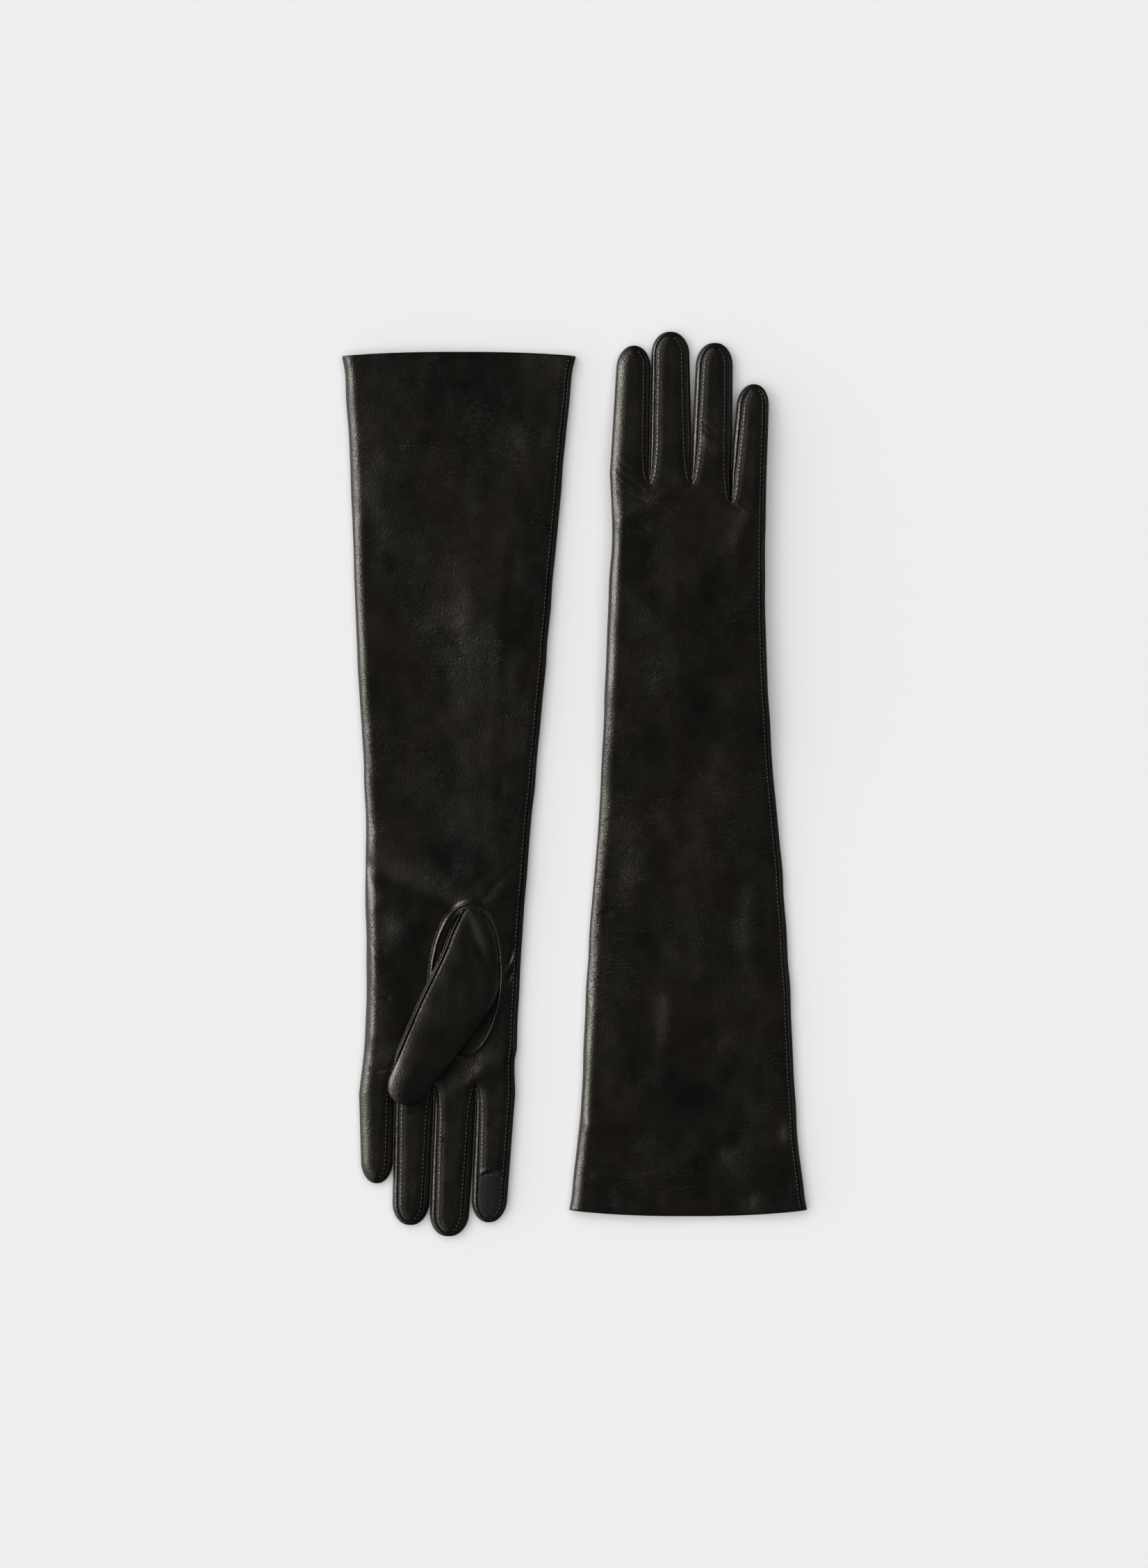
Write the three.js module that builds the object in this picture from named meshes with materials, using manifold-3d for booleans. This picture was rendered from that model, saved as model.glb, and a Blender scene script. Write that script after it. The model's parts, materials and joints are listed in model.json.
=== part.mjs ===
/**
 * A pair of long leather opera gloves lying flat: the left one palm up with its fingers towards -Y,
 * the right one back up with its fingers towards +Y and its thumb folded under the palm.
 *
 * Both hands are one design. It is drawn in the glove's own frame, in millimetres:
 *   u runs across, from the index side to the little-finger side, with 0 on the centre line,
 *   v runs along, from the cuff edge to the fingertips,
 *   w runs through the thickness, from the back of the hand to the palm.
 * The function lay() of each hand then puts that frame on the table.
 */
import * as THREE from 'three';
import { mergeVertices } from 'three/addons/utils/BufferGeometryUtils.js';
import Module from 'manifold-3d';

const wasm = await Module();
wasm.setup();

// ---------------------------------------------------------------- driving dimensions, millimetres

const LEATHER = 0.9; // thickness of the skin
const LINING = 0.4; // thickness of the lining cloth
const GAP = 0.3; // clearance between neighbouring pieces
const THICKNESS = 9; // of the glove as it lies, from back to palm
const THUMB_THICKNESS = 8; // of the thumb as it lies on the palm

const SLEEVE_LENGTH = 300; // cuff edge to wrist
const HAND_LENGTH = 127; // wrist to finger roots
const CUFF_WIDTH = 134; // across the cuff edge, corners included
const CUFF_FLARE = 2; // how far each corner of the cuff edge stands out
const FLARE_LENGTH = 12; // length over which the corners flare
const HEM_DEPTH = 15; // turned-in hem at the cuff
const FOREARM_WIDTH = 107;
const FOREARM_TO_WRIST = 120; // where the forearm width is taken
const WRIST_WIDTH = 91.5;
const WRIST_TO_PALM = 70; // where the palm width is taken
const PALM_WIDTH = 88;

const FINGER_SPACE = 1; // air between the roots of neighbouring fingers
const FINGER_TAPER = 1.6; // how much narrower each side of a finger is at its tip
const TIP_ROUND = 9; // length of the rounded end of the seam line at a fingertip
const LITTLE_CROTCH_DROP = 11; // how much nearer the wrist the crotch of the little finger is
// Width at the root, length from the root line to the tip, and the place of the bending crease.
const FINGERS = [
  { name: 'index', width: 22, length: 74, crease: 23 },
  { name: 'middle', width: 23.2, length: 82, crease: 28 },
  { name: 'ring', width: 21.8, length: 75.5, crease: 23 },
  { name: 'little', width: 20, length: 51.5, crease: 11 },
];
const TOUCH_TIP_LENGTH = 26; // conductive end of the index front
const TOUCH_TIP_ARCH = 2.5; // rise of its arched seam

const THUMB_LENGTH = 90;
const THUMB_ROOT_WIDTH = 33;
const THUMB_TIP_WIDTH = 23;
const THUMB_ANGLE = THREE.MathUtils.degToRad(25); // lean towards the little finger
const THUMB_FROM_WRIST = 52; // level of the thumb's root
const THUMB_INSET = 29.5; // from the index side to the middle of the thumb's root
const THUMB_MOUTH = 44; // open length of the thumb's underside, over the thumb hole
const THUMB_HOLE_WIDTH = 38;
const THUMB_HOLE_LENGTH = 89;
const THUMB_HOLE_LEAD = 9; // from the thumb's root to the middle of the hole
const GUSSET_MOUTH_WIDTH = 20; // way through the gusset into the thumb
const GUSSET_MOUTH_LENGTH = 44;

const RISE_LENGTH = 112; // run over which the right sleeve climbs onto the folded thumb
const RISE_MARGIN = 3; // level run of the right hand past the thumb at either end

const GLOVE_SPACING = 140; // across, between the two gloves' straight centre lines
const TIP_OVERHANG = 12.5; // how far the fingertips of one glove lie beyond the cuff of the other

// How each glove lies: the sideways bow of its centre line, and how far each fingertip leans over.
const LEFT = {
  name: 'left',
  palmUp: true,
  bow: { cuff: -8, wrist: -1.2, roots: 4.5 },
  lean: [4, 3.9, 2.4, 0.1],
};
const RIGHT = {
  name: 'right',
  palmUp: false,
  bow: { cuff: 0, wrist: 0, roots: 0 },
  lean: [3, 0, 2.5, 3.5],
};

// Fineness of the facets.
const STATION_STEP = 20;
const ARC_STEPS = 4;
const TIP_STEPS = 4;
const CROTCH_STEPS = 6;
const OVAL_STEPS = 5; // points on each rounded edge of the lining and hem
const BAND_TIP_TURN = THREE.MathUtils.degToRad(88.5); // where the two sides of a digit meet
const FLAT_TIP_TURN = THREE.MathUtils.degToRad(78); // where the flat of a digit ends, bluntly
const THROUGH = 80; // length of a cutter that goes right through

// ---------------------------------------------------------------- derived places

const WRIST = SLEEVE_LENGTH;
const ROOTS = WRIST + HAND_LENGTH;
const EDGE = THICKNESS / 2; // radius of the rounded side edges
const KNUCKLE_WIDTH = FINGERS.reduce((sum, finger) => sum + finger.width, 0) + 3 * FINGER_SPACE;
const THUMB_ROOT = new THREE.Vector2(THUMB_INSET - PALM_WIDTH / 2, WRIST + THUMB_FROM_WRIST);
const THUMB_FLOOR = THICKNESS + GAP; // w at which the thumb lies on the palm
const RISE = THUMB_THICKNESS + GAP; // how far the folded thumb lifts the right hand
const GLOVE_LENGTH = ROOTS + Math.max(...FINGERS.map((finger) => finger.length));
const THUMB_END = THUMB_ROOT.y + THUMB_LENGTH * Math.cos(THUMB_ANGLE);
const HOLE_MIDDLE = THUMB_ROOT.y + THUMB_HOLE_LEAD;
const HOLE_START = HOLE_MIDDLE - THUMB_HOLE_LENGTH / 2;

// ---------------------------------------------------------------- materials

const blackLeather = new THREE.MeshStandardMaterial({ color: 0x1c1917, roughness: 0.48, metalness: 0 });
const seamLeather = new THREE.MeshStandardMaterial({ color: 0x23201d, roughness: 0.45, metalness: 0 });
const coatedCloth = new THREE.MeshStandardMaterial({ color: 0x0d0e11, roughness: 0.85, metalness: 0 });
const liningCloth = new THREE.MeshStandardMaterial({ color: 0x141418, roughness: 0.7, metalness: 0 });

// ---------------------------------------------------------------- outline of the design

/** Smooth height at v through the given [v, height] points, level beyond the two ends. */
function through(points, v) {
  const last = points.length - 1;
  if (v <= points[0][0]) {
    return points[0][1];
  }
  if (v >= points[last][0]) {
    return points[last][1];
  }
  const i = points.findIndex((point, k) => k < last && v < points[k + 1][0]);
  const slope = (k) => {
    const before = points[Math.max(k - 1, 0)];
    const after = points[Math.min(k + 1, last)];
    return (after[1] - before[1]) / (after[0] - before[0]);
  };
  const [v0, h0] = points[i];
  const [v1, h1] = points[i + 1];
  const span = v1 - v0;
  const t = (v - v0) / span;
  const rising = t * t * (3 - 2 * t);
  return h0 + (h1 - h0) * rising + span * (slope(i) * t * (1 - t) ** 2 - slope(i + 1) * t * t * (1 - t));
}

const HALF_WIDTHS = [
  [0, CUFF_WIDTH / 2],
  [FLARE_LENGTH, CUFF_WIDTH / 2 - CUFF_FLARE],
  [WRIST - FOREARM_TO_WRIST, FOREARM_WIDTH / 2],
  [WRIST, WRIST_WIDTH / 2],
  [WRIST + WRIST_TO_PALM, PALM_WIDTH / 2],
  [ROOTS, KNUCKLE_WIDTH / 2],
];

/** The fingers of one hand, each with its seam lines as functions of v. */
function fingersOf(hand) {
  let edge = -KNUCKLE_WIDTH / 2;
  return FINGERS.map((finger, i) => {
    const middle = edge + finger.width / 2;
    edge += finger.width + FINGER_SPACE;
    const along = (v) => Math.max(0, (v - ROOTS) / finger.length);
    return {
      ...finger,
      tip: ROOTS + finger.length,
      creaseAt: ROOTS + finger.crease,
      centre: (v) => middle + hand.lean[i] * along(v),
      // Half the width of the flat, between the two rounded sides.
      half: (v) => finger.width / 2 - EDGE - FINGER_TAPER * along(v),
    };
  });
}

/** The seam line of the hand's side: -1 is the index side, 1 the little-finger side. */
function sideSeam(fingers, side, v) {
  const finger = side < 0 ? fingers[0] : fingers[3];
  return v < ROOTS ? side * (through(HALF_WIDTHS, v) - EDGE) : finger.centre(v) + side * finger.half(v);
}

/** Levels between two values of v, counted off from the finger roots, so that every piece shares them. */
function stations(from, to) {
  const levels = [from];
  const steps = Math.ceil((from + 1 - ROOTS) / STATION_STEP);
  for (let v = ROOTS + steps * STATION_STEP; v < to - 1; v += STATION_STEP) {
    levels.push(v);
  }
  levels.push(to);
  return levels;
}

/** Rows of a digit from its start to its tip: a straight stretch, then a quarter of an ellipse. */
function digitRows(start, seamTip, half, endTurn) {
  const arcStart = seamTip - TIP_ROUND;
  const rows = stations(start, arcStart).map((v) => ({ v, half: half(v), turn: 0 }));
  for (let i = 1; i <= TIP_STEPS; i += 1) {
    const turn = (i / TIP_STEPS) * endTurn;
    rows.push({ v: arcStart + TIP_ROUND * Math.sin(turn), half: half(arcStart) * Math.cos(turn), turn });
  }
  return rows;
}

/** Points along one side of a digit's seam line, each with the direction that points out of the digit. */
function digitSide(rows, centre, side) {
  const arcHalf = rows.filter((row) => row.turn === 0).at(-1).half;
  return rows.map((row) => {
    const across = side * TIP_ROUND * Math.cos(row.turn);
    const out = new THREE.Vector2(across, arcHalf * Math.sin(row.turn)).normalize();
    return { u: centre(row.v) + side * row.half, v: row.v, out };
  });
}

// ---------------------------------------------------------------- solids

/** Moves every vertex of a geometry, merges the shared ones and turns the faces outwards. */
function moulded(geometry, move) {
  geometry.deleteAttribute('normal');
  geometry.deleteAttribute('uv');
  const position = geometry.attributes.position;
  const point = new THREE.Vector3();
  for (let i = 0; i < position.count; i += 1) {
    point.fromBufferAttribute(position, i);
    move(point);
    position.setXYZ(i, point.x, point.y, point.z);
  }
  const merged = mergeVertices(geometry, 1e-3);
  if (volume(merged) < 0) {
    merged.index.array.reverse();
  }
  return merged;
}

/** Signed volume inside a closed indexed geometry. */
function volume(geometry) {
  const { index } = geometry;
  const { position } = geometry.attributes;
  const corners = [new THREE.Vector3(), new THREE.Vector3(), new THREE.Vector3()];
  let sum = 0;
  for (let i = 0; i < index.count; i += 3) {
    corners.forEach((corner, k) => corner.fromBufferAttribute(position, index.getX(i + k)));
    sum += corners[0].dot(corners[1].cross(corners[2]));
  }
  return sum / 6;
}

/** A flat sheet between two edge lines, with rows { v, from, to }, filling floor..top in w. */
function sheet(rows, floor, top, lay) {
  const last = rows.length - 1;
  return moulded(new THREE.BoxGeometry(1, 1, 1, 1, last, 1), (p) => {
    const row = rows[Math.round((p.y + 0.5) * last)];
    const share = p.x + 0.5;
    const bend = (row.arch ?? 0) * (1 - (2 * share - 1) ** 2);
    lay(p.set(THREE.MathUtils.lerp(row.from, row.to, share), row.v + bend, p.z < 0 ? floor : top));
  });
}

/** A half-round leather band that closes the edge along a seam line, bulging the way "out" points. */
function edgeBand(points, radius, middle, lay) {
  const last = points.length - 1;
  return moulded(new THREE.BoxGeometry(1, 1, 1, ARC_STEPS, last, 1), (p) => {
    const { u, v, out } = points[Math.round((p.y + 0.5) * last)];
    const angle = p.x * Math.PI;
    const r = p.z < 0 ? radius - LEATHER : radius;
    const reach = r * Math.cos(angle);
    lay(p.set(u + out.x * reach, v + out.y * reach, middle + r * Math.sin(angle)));
  });
}

/** A flat-oval sleeve inside the leather, from one level to another, open at both ends. */
function ovalSleeve(fingers, from, to, inset, wall, lay) {
  const levels = stations(from, to);
  const [inside, outside] = [1, 2]; // radii that only tell the sleeve's two faces apart
  const outer = levels.map((v) => new THREE.Vector2(outside, v));
  const inner = levels.toReversed().map((v) => new THREE.Vector2(inside, v));
  const count = 2 * OVAL_STEPS;
  const half = Math.PI / count;
  const ring = new THREE.LatheGeometry([...outer, ...inner, outer[0]], count, half);
  const stretch = Math.PI / 2 / (Math.PI / 2 - half);
  return moulded(ring, (p) => {
    const outerFace = Math.hypot(p.x, p.z) > (inside + outside) / 2;
    const radius = EDGE - inset - (outerFace ? 0 : wall);
    const side = p.x < 0 ? -1 : 1;
    const angle = Math.atan(p.z / Math.abs(p.x)) * stretch;
    const u = sideSeam(fingers, side, p.y) + side * radius * Math.cos(angle);
    lay(p.set(u, p.y, THICKNESS / 2 + radius * Math.sin(angle)));
  });
}

/** A prism of the given outline, filling floor..top in w. */
function prism(outline, floor, top, lay) {
  const settings = { depth: top - floor, bevelEnabled: false, curveSegments: 12 };
  const solid = new THREE.ExtrudeGeometry(outline, settings);
  return moulded(solid, (p) => lay(p.setZ(p.z + floor)));
}

function toManifold(geometry) {
  const { position } = geometry.attributes;
  const vertProperties = new Float32Array(position.array);
  const triVerts = new Uint32Array(geometry.index.array);
  return new wasm.Manifold(new wasm.Mesh({ numProp: 3, vertProperties, triVerts }));
}

/** The first geometry with the others cut out of it. */
function cut(geometry, cutters) {
  const solid = cutters.reduce((rest, cutter) => rest.subtract(toManifold(cutter)), toManifold(geometry));
  const result = solid.getMesh();
  const carved = new THREE.BufferGeometry();
  carved.setAttribute('position', new THREE.BufferAttribute(new Float32Array(result.vertProperties), 3));
  carved.setIndex(new THREE.BufferAttribute(new Uint32Array(result.triVerts), 1));
  return carved;
}

// ---------------------------------------------------------------- pieces of one hand

/** Level of the crotch after finger i, at the middle of its U turn. */
function crotchLevel(i) {
  return i === 2 ? ROOTS - LITTLE_CROTCH_DROP : ROOTS;
}

/** Outline of the space between two fingers, as it is cut out of the back and palm panels. */
function slotOutline(left, right, level) {
  const top = GLOVE_LENGTH;
  const from = (v) => left.centre(v) + left.half(v) - GAP;
  const to = (v) => right.centre(v) - right.half(v) + GAP;
  const slot = new THREE.Shape();
  slot.moveTo(from(top), top);
  slot.lineTo(from(ROOTS), ROOTS);
  slot.lineTo(from(level), level);
  slot.absarc((from(level) + to(level)) / 2, level, (to(level) - from(level)) / 2, Math.PI, 2 * Math.PI, false);
  slot.lineTo(to(ROOTS), ROOTS);
  slot.lineTo(to(top), top);
  return slot;
}

/** Cutters that leave the hand's panels with four finger roots, each ending at its crease. */
function rootCutters(fingers, lay) {
  const middles = [0, 1, 2].map((i) => (v) => {
    const [left, right] = [fingers[i], fingers[i + 1]];
    return (left.centre(v) + left.half(v) + right.centre(v) - right.half(v)) / 2;
  });
  const slots = middles.map((middle, i) => {
    return prism(slotOutline(fingers[i], fingers[i + 1], crotchLevel(i)), -THROUGH, THROUGH, lay);
  });
  const ends = fingers.map((finger, i) => {
    const from = i === 0 ? -KNUCKLE_WIDTH : middles[i - 1](finger.creaseAt);
    const to = i === 3 ? KNUCKLE_WIDTH : middles[i](finger.creaseAt);
    const rows = [finger.creaseAt - GAP / 2, GLOVE_LENGTH].map((v) => ({ v, from, to }));
    return sheet(rows, -THROUGH, THROUGH, lay);
  });
  return [...slots, ...ends];
}

function handPanel(fingers, floor, extraCutters, lay) {
  const end = Math.max(...fingers.map((finger) => finger.creaseAt));
  const rows = stations(0, end).map((v) => ({
    v,
    from: sideSeam(fingers, -1, v) + GAP,
    to: sideSeam(fingers, 1, v) - GAP,
  }));
  return cut(sheet(rows, floor, floor + LEATHER, lay), [...rootCutters(fingers, lay), ...extraCutters]);
}

function sideSeamBand(fingers, side, lay) {
  const finger = side < 0 ? fingers[0] : fingers[3];
  const points = stations(0, finger.creaseAt - GAP / 2).map((v) => ({
    u: sideSeam(fingers, side, v),
    v,
    out: new THREE.Vector2(side, 0),
  }));
  return edgeBand(points, EDGE, EDGE, lay);
}

/** The pair of fourchette roots between two fingers: down one side, round the crotch, up the other. */
function crotchBand(left, right, level, lay) {
  const down = stations(level, left.creaseAt - GAP / 2).toReversed();
  const up = stations(level, right.creaseAt - GAP / 2);
  const start = left.centre(level) + left.half(level);
  const radius = (right.centre(level) - right.half(level) - start) / 2;
  const turn = [];
  for (let i = 1; i < CROTCH_STEPS; i += 1) {
    const angle = (i / CROTCH_STEPS) * Math.PI;
    const out = new THREE.Vector2(Math.cos(angle), Math.sin(angle));
    turn.push({ u: start + radius - radius * out.x, v: level - radius * out.y, out });
  }
  const points = [
    ...down.map((v) => ({ u: left.centre(v) + left.half(v), v, out: new THREE.Vector2(1, 0) })),
    ...turn,
    ...up.map((v) => ({ u: right.centre(v) - right.half(v), v, out: new THREE.Vector2(-1, 0) })),
  ];
  return edgeBand(points, EDGE, EDGE, lay);
}

/** Rows of a digit's flat, kept clear of the side bands. */
function flatRows(start, seamTip, half, centre, endTurn) {
  return digitRows(start, seamTip, half, endTurn).map((row) => {
    const reach = row.half - GAP;
    return { v: row.v - GAP * Math.sin(row.turn), from: centre(row.v) - reach, to: centre(row.v) + reach };
  });
}

/** The parts of one finger past its bending crease. */
function fingerPieces(finger, i, lay) {
  const start = finger.creaseAt + GAP / 2;
  const seamTip = finger.tip - EDGE;
  const rows = flatRows(start, seamTip, finger.half, finger.centre, FLAT_TIP_TURN);
  const front = THICKNESS - LEATHER;
  const pieces = [[`${finger.name}_back`, sheet(rows, 0, LEATHER, lay), blackLeather]];
  if (i === 0) {
    const seam = finger.tip - TOUCH_TIP_LENGTH;
    const below = rows.filter((row) => row.v < seam - GAP);
    const above = rows.filter((row) => row.v > seam + GAP);
    const seamRow = (v) => ({
      v,
      from: finger.centre(v) - finger.half(v) + GAP,
      to: finger.centre(v) + finger.half(v) - GAP,
      arch: -TOUCH_TIP_ARCH,
    });
    const leather = [...below, seamRow(seam - GAP / 2)];
    const patch = [seamRow(seam + GAP / 2), ...above];
    pieces.push([`${finger.name}_front`, sheet(leather, front, THICKNESS, lay), blackLeather]);
    pieces.push([`${finger.name}_touch_tip`, sheet(patch, front, THICKNESS, lay), coatedCloth]);
  } else {
    pieces.push([`${finger.name}_front`, sheet(rows, front, THICKNESS, lay), blackLeather]);
  }
  const bandRows = digitRows(start, seamTip, finger.half, BAND_TIP_TURN);
  for (const side of [-1, 1]) {
    const neighbour = FINGERS[i + side];
    const name = neighbour ? `fourchette_${neighbour.name}_side` : 'outer_side';
    const band = edgeBand(digitSide(bandRows, finger.centre, side), EDGE, EDGE, lay);
    pieces.push([`${finger.name}_${name}`, band, neighbour ? blackLeather : seamLeather]);
  }
  return pieces;
}

/** Takes the thumb's own frame (across, along, w) to the glove's frame. */
function thumbPlace(point) {
  const { x, y } = point;
  const cos = Math.cos(THUMB_ANGLE);
  const sin = Math.sin(THUMB_ANGLE);
  return point.setX(THUMB_ROOT.x + x * cos + y * sin).setY(THUMB_ROOT.y - x * sin + y * cos);
}

/** The thumb, lying on the palm: its front, its back and the band with the inseam round its edge. */
function thumbPieces(lay) {
  const radius = THUMB_THICKNESS / 2;
  const seamTip = THUMB_LENGTH - radius;
  const arcStart = seamTip - TIP_ROUND;
  const half = (q) => THREE.MathUtils.lerp(THUMB_ROOT_WIDTH, THUMB_TIP_WIDTH, q / arcStart) / 2 - radius;
  const centre = () => 0;
  const place = (point) => lay(thumbPlace(point));
  const ceiling = THUMB_FLOOR + THUMB_THICKNESS;
  const front = flatRows(0, seamTip, half, centre, FLAT_TIP_TURN);
  const back = flatRows(THUMB_MOUTH, seamTip, half, centre, FLAT_TIP_TURN);
  const sides = digitRows(0, seamTip, half, Math.PI / 2);
  const round = [
    ...digitSide(sides, centre, -1),
    ...digitSide(sides, centre, 1).toReversed().slice(1),
  ];
  return [
    ['thumb_front', sheet(front, ceiling - LEATHER, ceiling, place), blackLeather],
    ['thumb_back', sheet(back, THUMB_FLOOR, THUMB_FLOOR + LEATHER, place), blackLeather],
    ['thumb_inseam_band', edgeBand(round, radius, THUMB_FLOOR + radius, place), seamLeather],
  ];
}

/** An ellipse about a point of the palm's thumb side. */
function palmEllipse(width, length) {
  return new THREE.Shape().absellipse(THUMB_ROOT.x, HOLE_MIDDLE, width / 2, length / 2, 0, 2 * Math.PI, false, 0);
}

/** The oval gusset that fills the thumb hole, open in its middle towards the thumb. */
function thumbGusset(lay) {
  const outline = palmEllipse(THUMB_HOLE_WIDTH - 2 * GAP, THUMB_HOLE_LENGTH - 2 * GAP);
  outline.holes.push(palmEllipse(GUSSET_MOUTH_WIDTH, GUSSET_MOUTH_LENGTH));
  return prism(outline, THICKNESS - LEATHER, THICKNESS, lay);
}

/** The hand's frame on the table: a sideways bow, the climb over a folded thumb, and the side that is up. */
function layOf(hand) {
  const bow = [
    [0, hand.bow.cuff],
    [WRIST, hand.bow.wrist],
    [ROOTS, hand.bow.roots],
  ];
  const climbEnd = HOLE_START - RISE_MARGIN;
  const fallStart = THUMB_END + RISE_MARGIN;
  const climb = (v) => THREE.MathUtils.smoothstep(v, climbEnd - RISE_LENGTH, climbEnd);
  const fall = (v) => THREE.MathUtils.smoothstep(v, fallStart, GLOVE_LENGTH);
  return (point) => {
    const v = point.y;
    const height = hand.palmUp ? point.z : RISE * (climb(v) - fall(v)) + THICKNESS - point.z;
    return point.set(point.x + through(bow, v), v, height);
  };
}

function buildHand(hand) {
  const lay = layOf(hand);
  const fingers = fingersOf(hand);
  const lining = LEATHER + GAP;
  const hole = prism(palmEllipse(THUMB_HOLE_WIDTH, THUMB_HOLE_LENGTH), THICKNESS / 2, THROUGH, lay);
  const mouth = prism(palmEllipse(GUSSET_MOUTH_WIDTH, GUSSET_MOUTH_LENGTH), THICKNESS / 2, THROUGH, lay);
  const liningEnd = ROOTS - LITTLE_CROTCH_DROP - 2 * EDGE - GAP;
  const liningTube = ovalSleeve(fingers, HEM_DEPTH + GAP, liningEnd, lining, LINING, lay);
  const pieces = [
    ['back_panel', handPanel(fingers, 0, [], lay), blackLeather],
    ['palm_panel', handPanel(fingers, THICKNESS - LEATHER, [hole], lay), blackLeather],
    ['index_side_seam', sideSeamBand(fingers, -1, lay), seamLeather],
    ['little_side_seam', sideSeamBand(fingers, 1, lay), seamLeather],
    ['cuff_hem', ovalSleeve(fingers, GAP, HEM_DEPTH, lining, LEATHER, lay), blackLeather],
    ['lining', cut(liningTube, [mouth]), liningCloth],
    ['thumb_gusset', thumbGusset(lay), blackLeather],
    ...thumbPieces(lay),
    ...[0, 1, 2].map((i) => [
      `crotch_${fingers[i].name}_${fingers[i + 1].name}`,
      crotchBand(fingers[i], fingers[i + 1], crotchLevel(i), lay),
      blackLeather,
    ]),
    ...fingers.flatMap((finger, i) => fingerPieces(finger, i, lay)),
  ];
  const glove = new THREE.Group();
  for (const [name, geometry, material] of pieces) {
    geometry.computeVertexNormals();
    const mesh = new THREE.Mesh(geometry, material);
    mesh.name = `${hand.name}_${name}`;
    glove.add(mesh);
  }
  return glove;
}

// ---------------------------------------------------------------- the pair

const pair = new THREE.Group();

const leftGlove = buildHand(LEFT);
leftGlove.rotation.z = Math.PI;
leftGlove.position.set((LEFT.bow.cuff - GLOVE_SPACING) / 2, (GLOVE_LENGTH - TIP_OVERHANG) / 2, 0);
pair.add(leftGlove);

const rightGlove = buildHand(RIGHT);
rightGlove.position.set((LEFT.bow.cuff + GLOVE_SPACING) / 2, (TIP_OVERHANG - GLOVE_LENGTH) / 2, 0);
pair.add(rightGlove);

export default pair;
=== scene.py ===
"""A pair of long black leather opera gloves, lying flat on a pale floor.

The left glove lies palm up with its fingers towards -Y, the right one back up with its fingers towards +Y and
its thumb folded under the palm. Both are one design, drawn in the glove's own frame in millimetres:

    u runs across, from the index side to the little-finger side, with 0 on the centre line,
    v runs along, from the cuff edge to the fingertips,
    w runs through the thickness, from the back of the hand to the palm.

The class Lay puts that frame on the table, in metres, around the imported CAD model.
"""

import json
import logging
import math
from collections.abc import Sequence
from dataclasses import dataclass, field
from enum import Enum

import bmesh
import bpy
import numpy as np
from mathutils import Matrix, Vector
from numpy.typing import NDArray


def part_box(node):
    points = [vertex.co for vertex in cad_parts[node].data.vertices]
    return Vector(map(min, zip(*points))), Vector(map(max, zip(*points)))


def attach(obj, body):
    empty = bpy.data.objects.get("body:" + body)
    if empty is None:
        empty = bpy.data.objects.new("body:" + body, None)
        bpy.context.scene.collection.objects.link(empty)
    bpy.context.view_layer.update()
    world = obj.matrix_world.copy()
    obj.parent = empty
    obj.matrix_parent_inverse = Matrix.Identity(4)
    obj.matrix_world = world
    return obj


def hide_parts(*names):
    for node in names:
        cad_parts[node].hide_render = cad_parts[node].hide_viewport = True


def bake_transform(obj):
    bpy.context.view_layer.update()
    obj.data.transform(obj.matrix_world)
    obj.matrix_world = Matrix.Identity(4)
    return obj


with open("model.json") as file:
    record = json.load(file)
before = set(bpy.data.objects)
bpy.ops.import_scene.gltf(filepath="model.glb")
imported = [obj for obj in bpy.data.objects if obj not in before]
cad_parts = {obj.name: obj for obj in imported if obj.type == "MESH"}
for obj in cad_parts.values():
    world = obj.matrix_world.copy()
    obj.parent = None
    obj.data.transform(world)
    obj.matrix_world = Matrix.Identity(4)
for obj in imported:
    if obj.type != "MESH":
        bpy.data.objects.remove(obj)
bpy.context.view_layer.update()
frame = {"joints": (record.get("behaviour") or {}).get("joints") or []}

Array = NDArray[np.float64]
Pair = tuple[float, float]

METRES = 0.001  # in a millimetre
WELD = 2e-6  # metres within which two vertices become one
MOTTLED = (0.3, 0.7)  # the range that most of a noise's values lie in
log = logging.getLogger("opera_gloves")


# ------------------------------------------------------------------ curves and noise


def smoothstep(x: Array | float, start: float, end: float) -> Array:
    """A smooth step from 0 at start to 1 at end, by the cubic 3t^2 - 2t^3.

    Args:
        x: Where the step is wanted.
        start: Where it leaves 0.
        end: Where it reaches 1.

    Returns:
        The height of the step at every x.
    """
    t = np.clip((np.asarray(x, float) - start) / (end - start), 0, 1)
    return t * t * (3 - 2 * t)


def bump(x: Array, middle: float, width: float) -> Array:
    """A rounded bump of height 1, by the Gaussian exp(-((x - middle) / width)^2).

    Args:
        x: Where the bump is wanted.
        middle: Where it is highest.
        width: Half its width.

    Returns:
        The height of the bump at every x.
    """
    return np.exp(-(((x - middle) / width) ** 2))


def through(points: Sequence[Pair], x: Array | float) -> Array:
    """A smooth line through points, level beyond the two ends.

    Each stretch is a cubic whose slope at a point is that of the line joining the point's two neighbours.

    Args:
        points: The (x, height) points, in order.
        x: Where the height is wanted.

    Returns:
        The height at every x.
    """
    xs, hs = np.array(points, float).T
    number = np.arange(len(xs))
    before, after = np.maximum(number - 1, 0), np.minimum(number + 1, len(xs) - 1)
    slopes = (hs[after] - hs[before]) / (xs[after] - xs[before])
    x = np.clip(np.asarray(x, float), xs[0], xs[-1])
    i = np.clip(np.searchsorted(xs, x, side="right") - 1, 0, len(xs) - 2)
    span = xs[i + 1] - xs[i]
    t = (x - xs[i]) / span
    rising = t * t * (3 - 2 * t)
    leaning = span * (slopes[i] * t * (1 - t) ** 2 - slopes[i + 1] * t * t * (1 - t))
    return hs[i] + (hs[i + 1] - hs[i]) * rising + leaning


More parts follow.
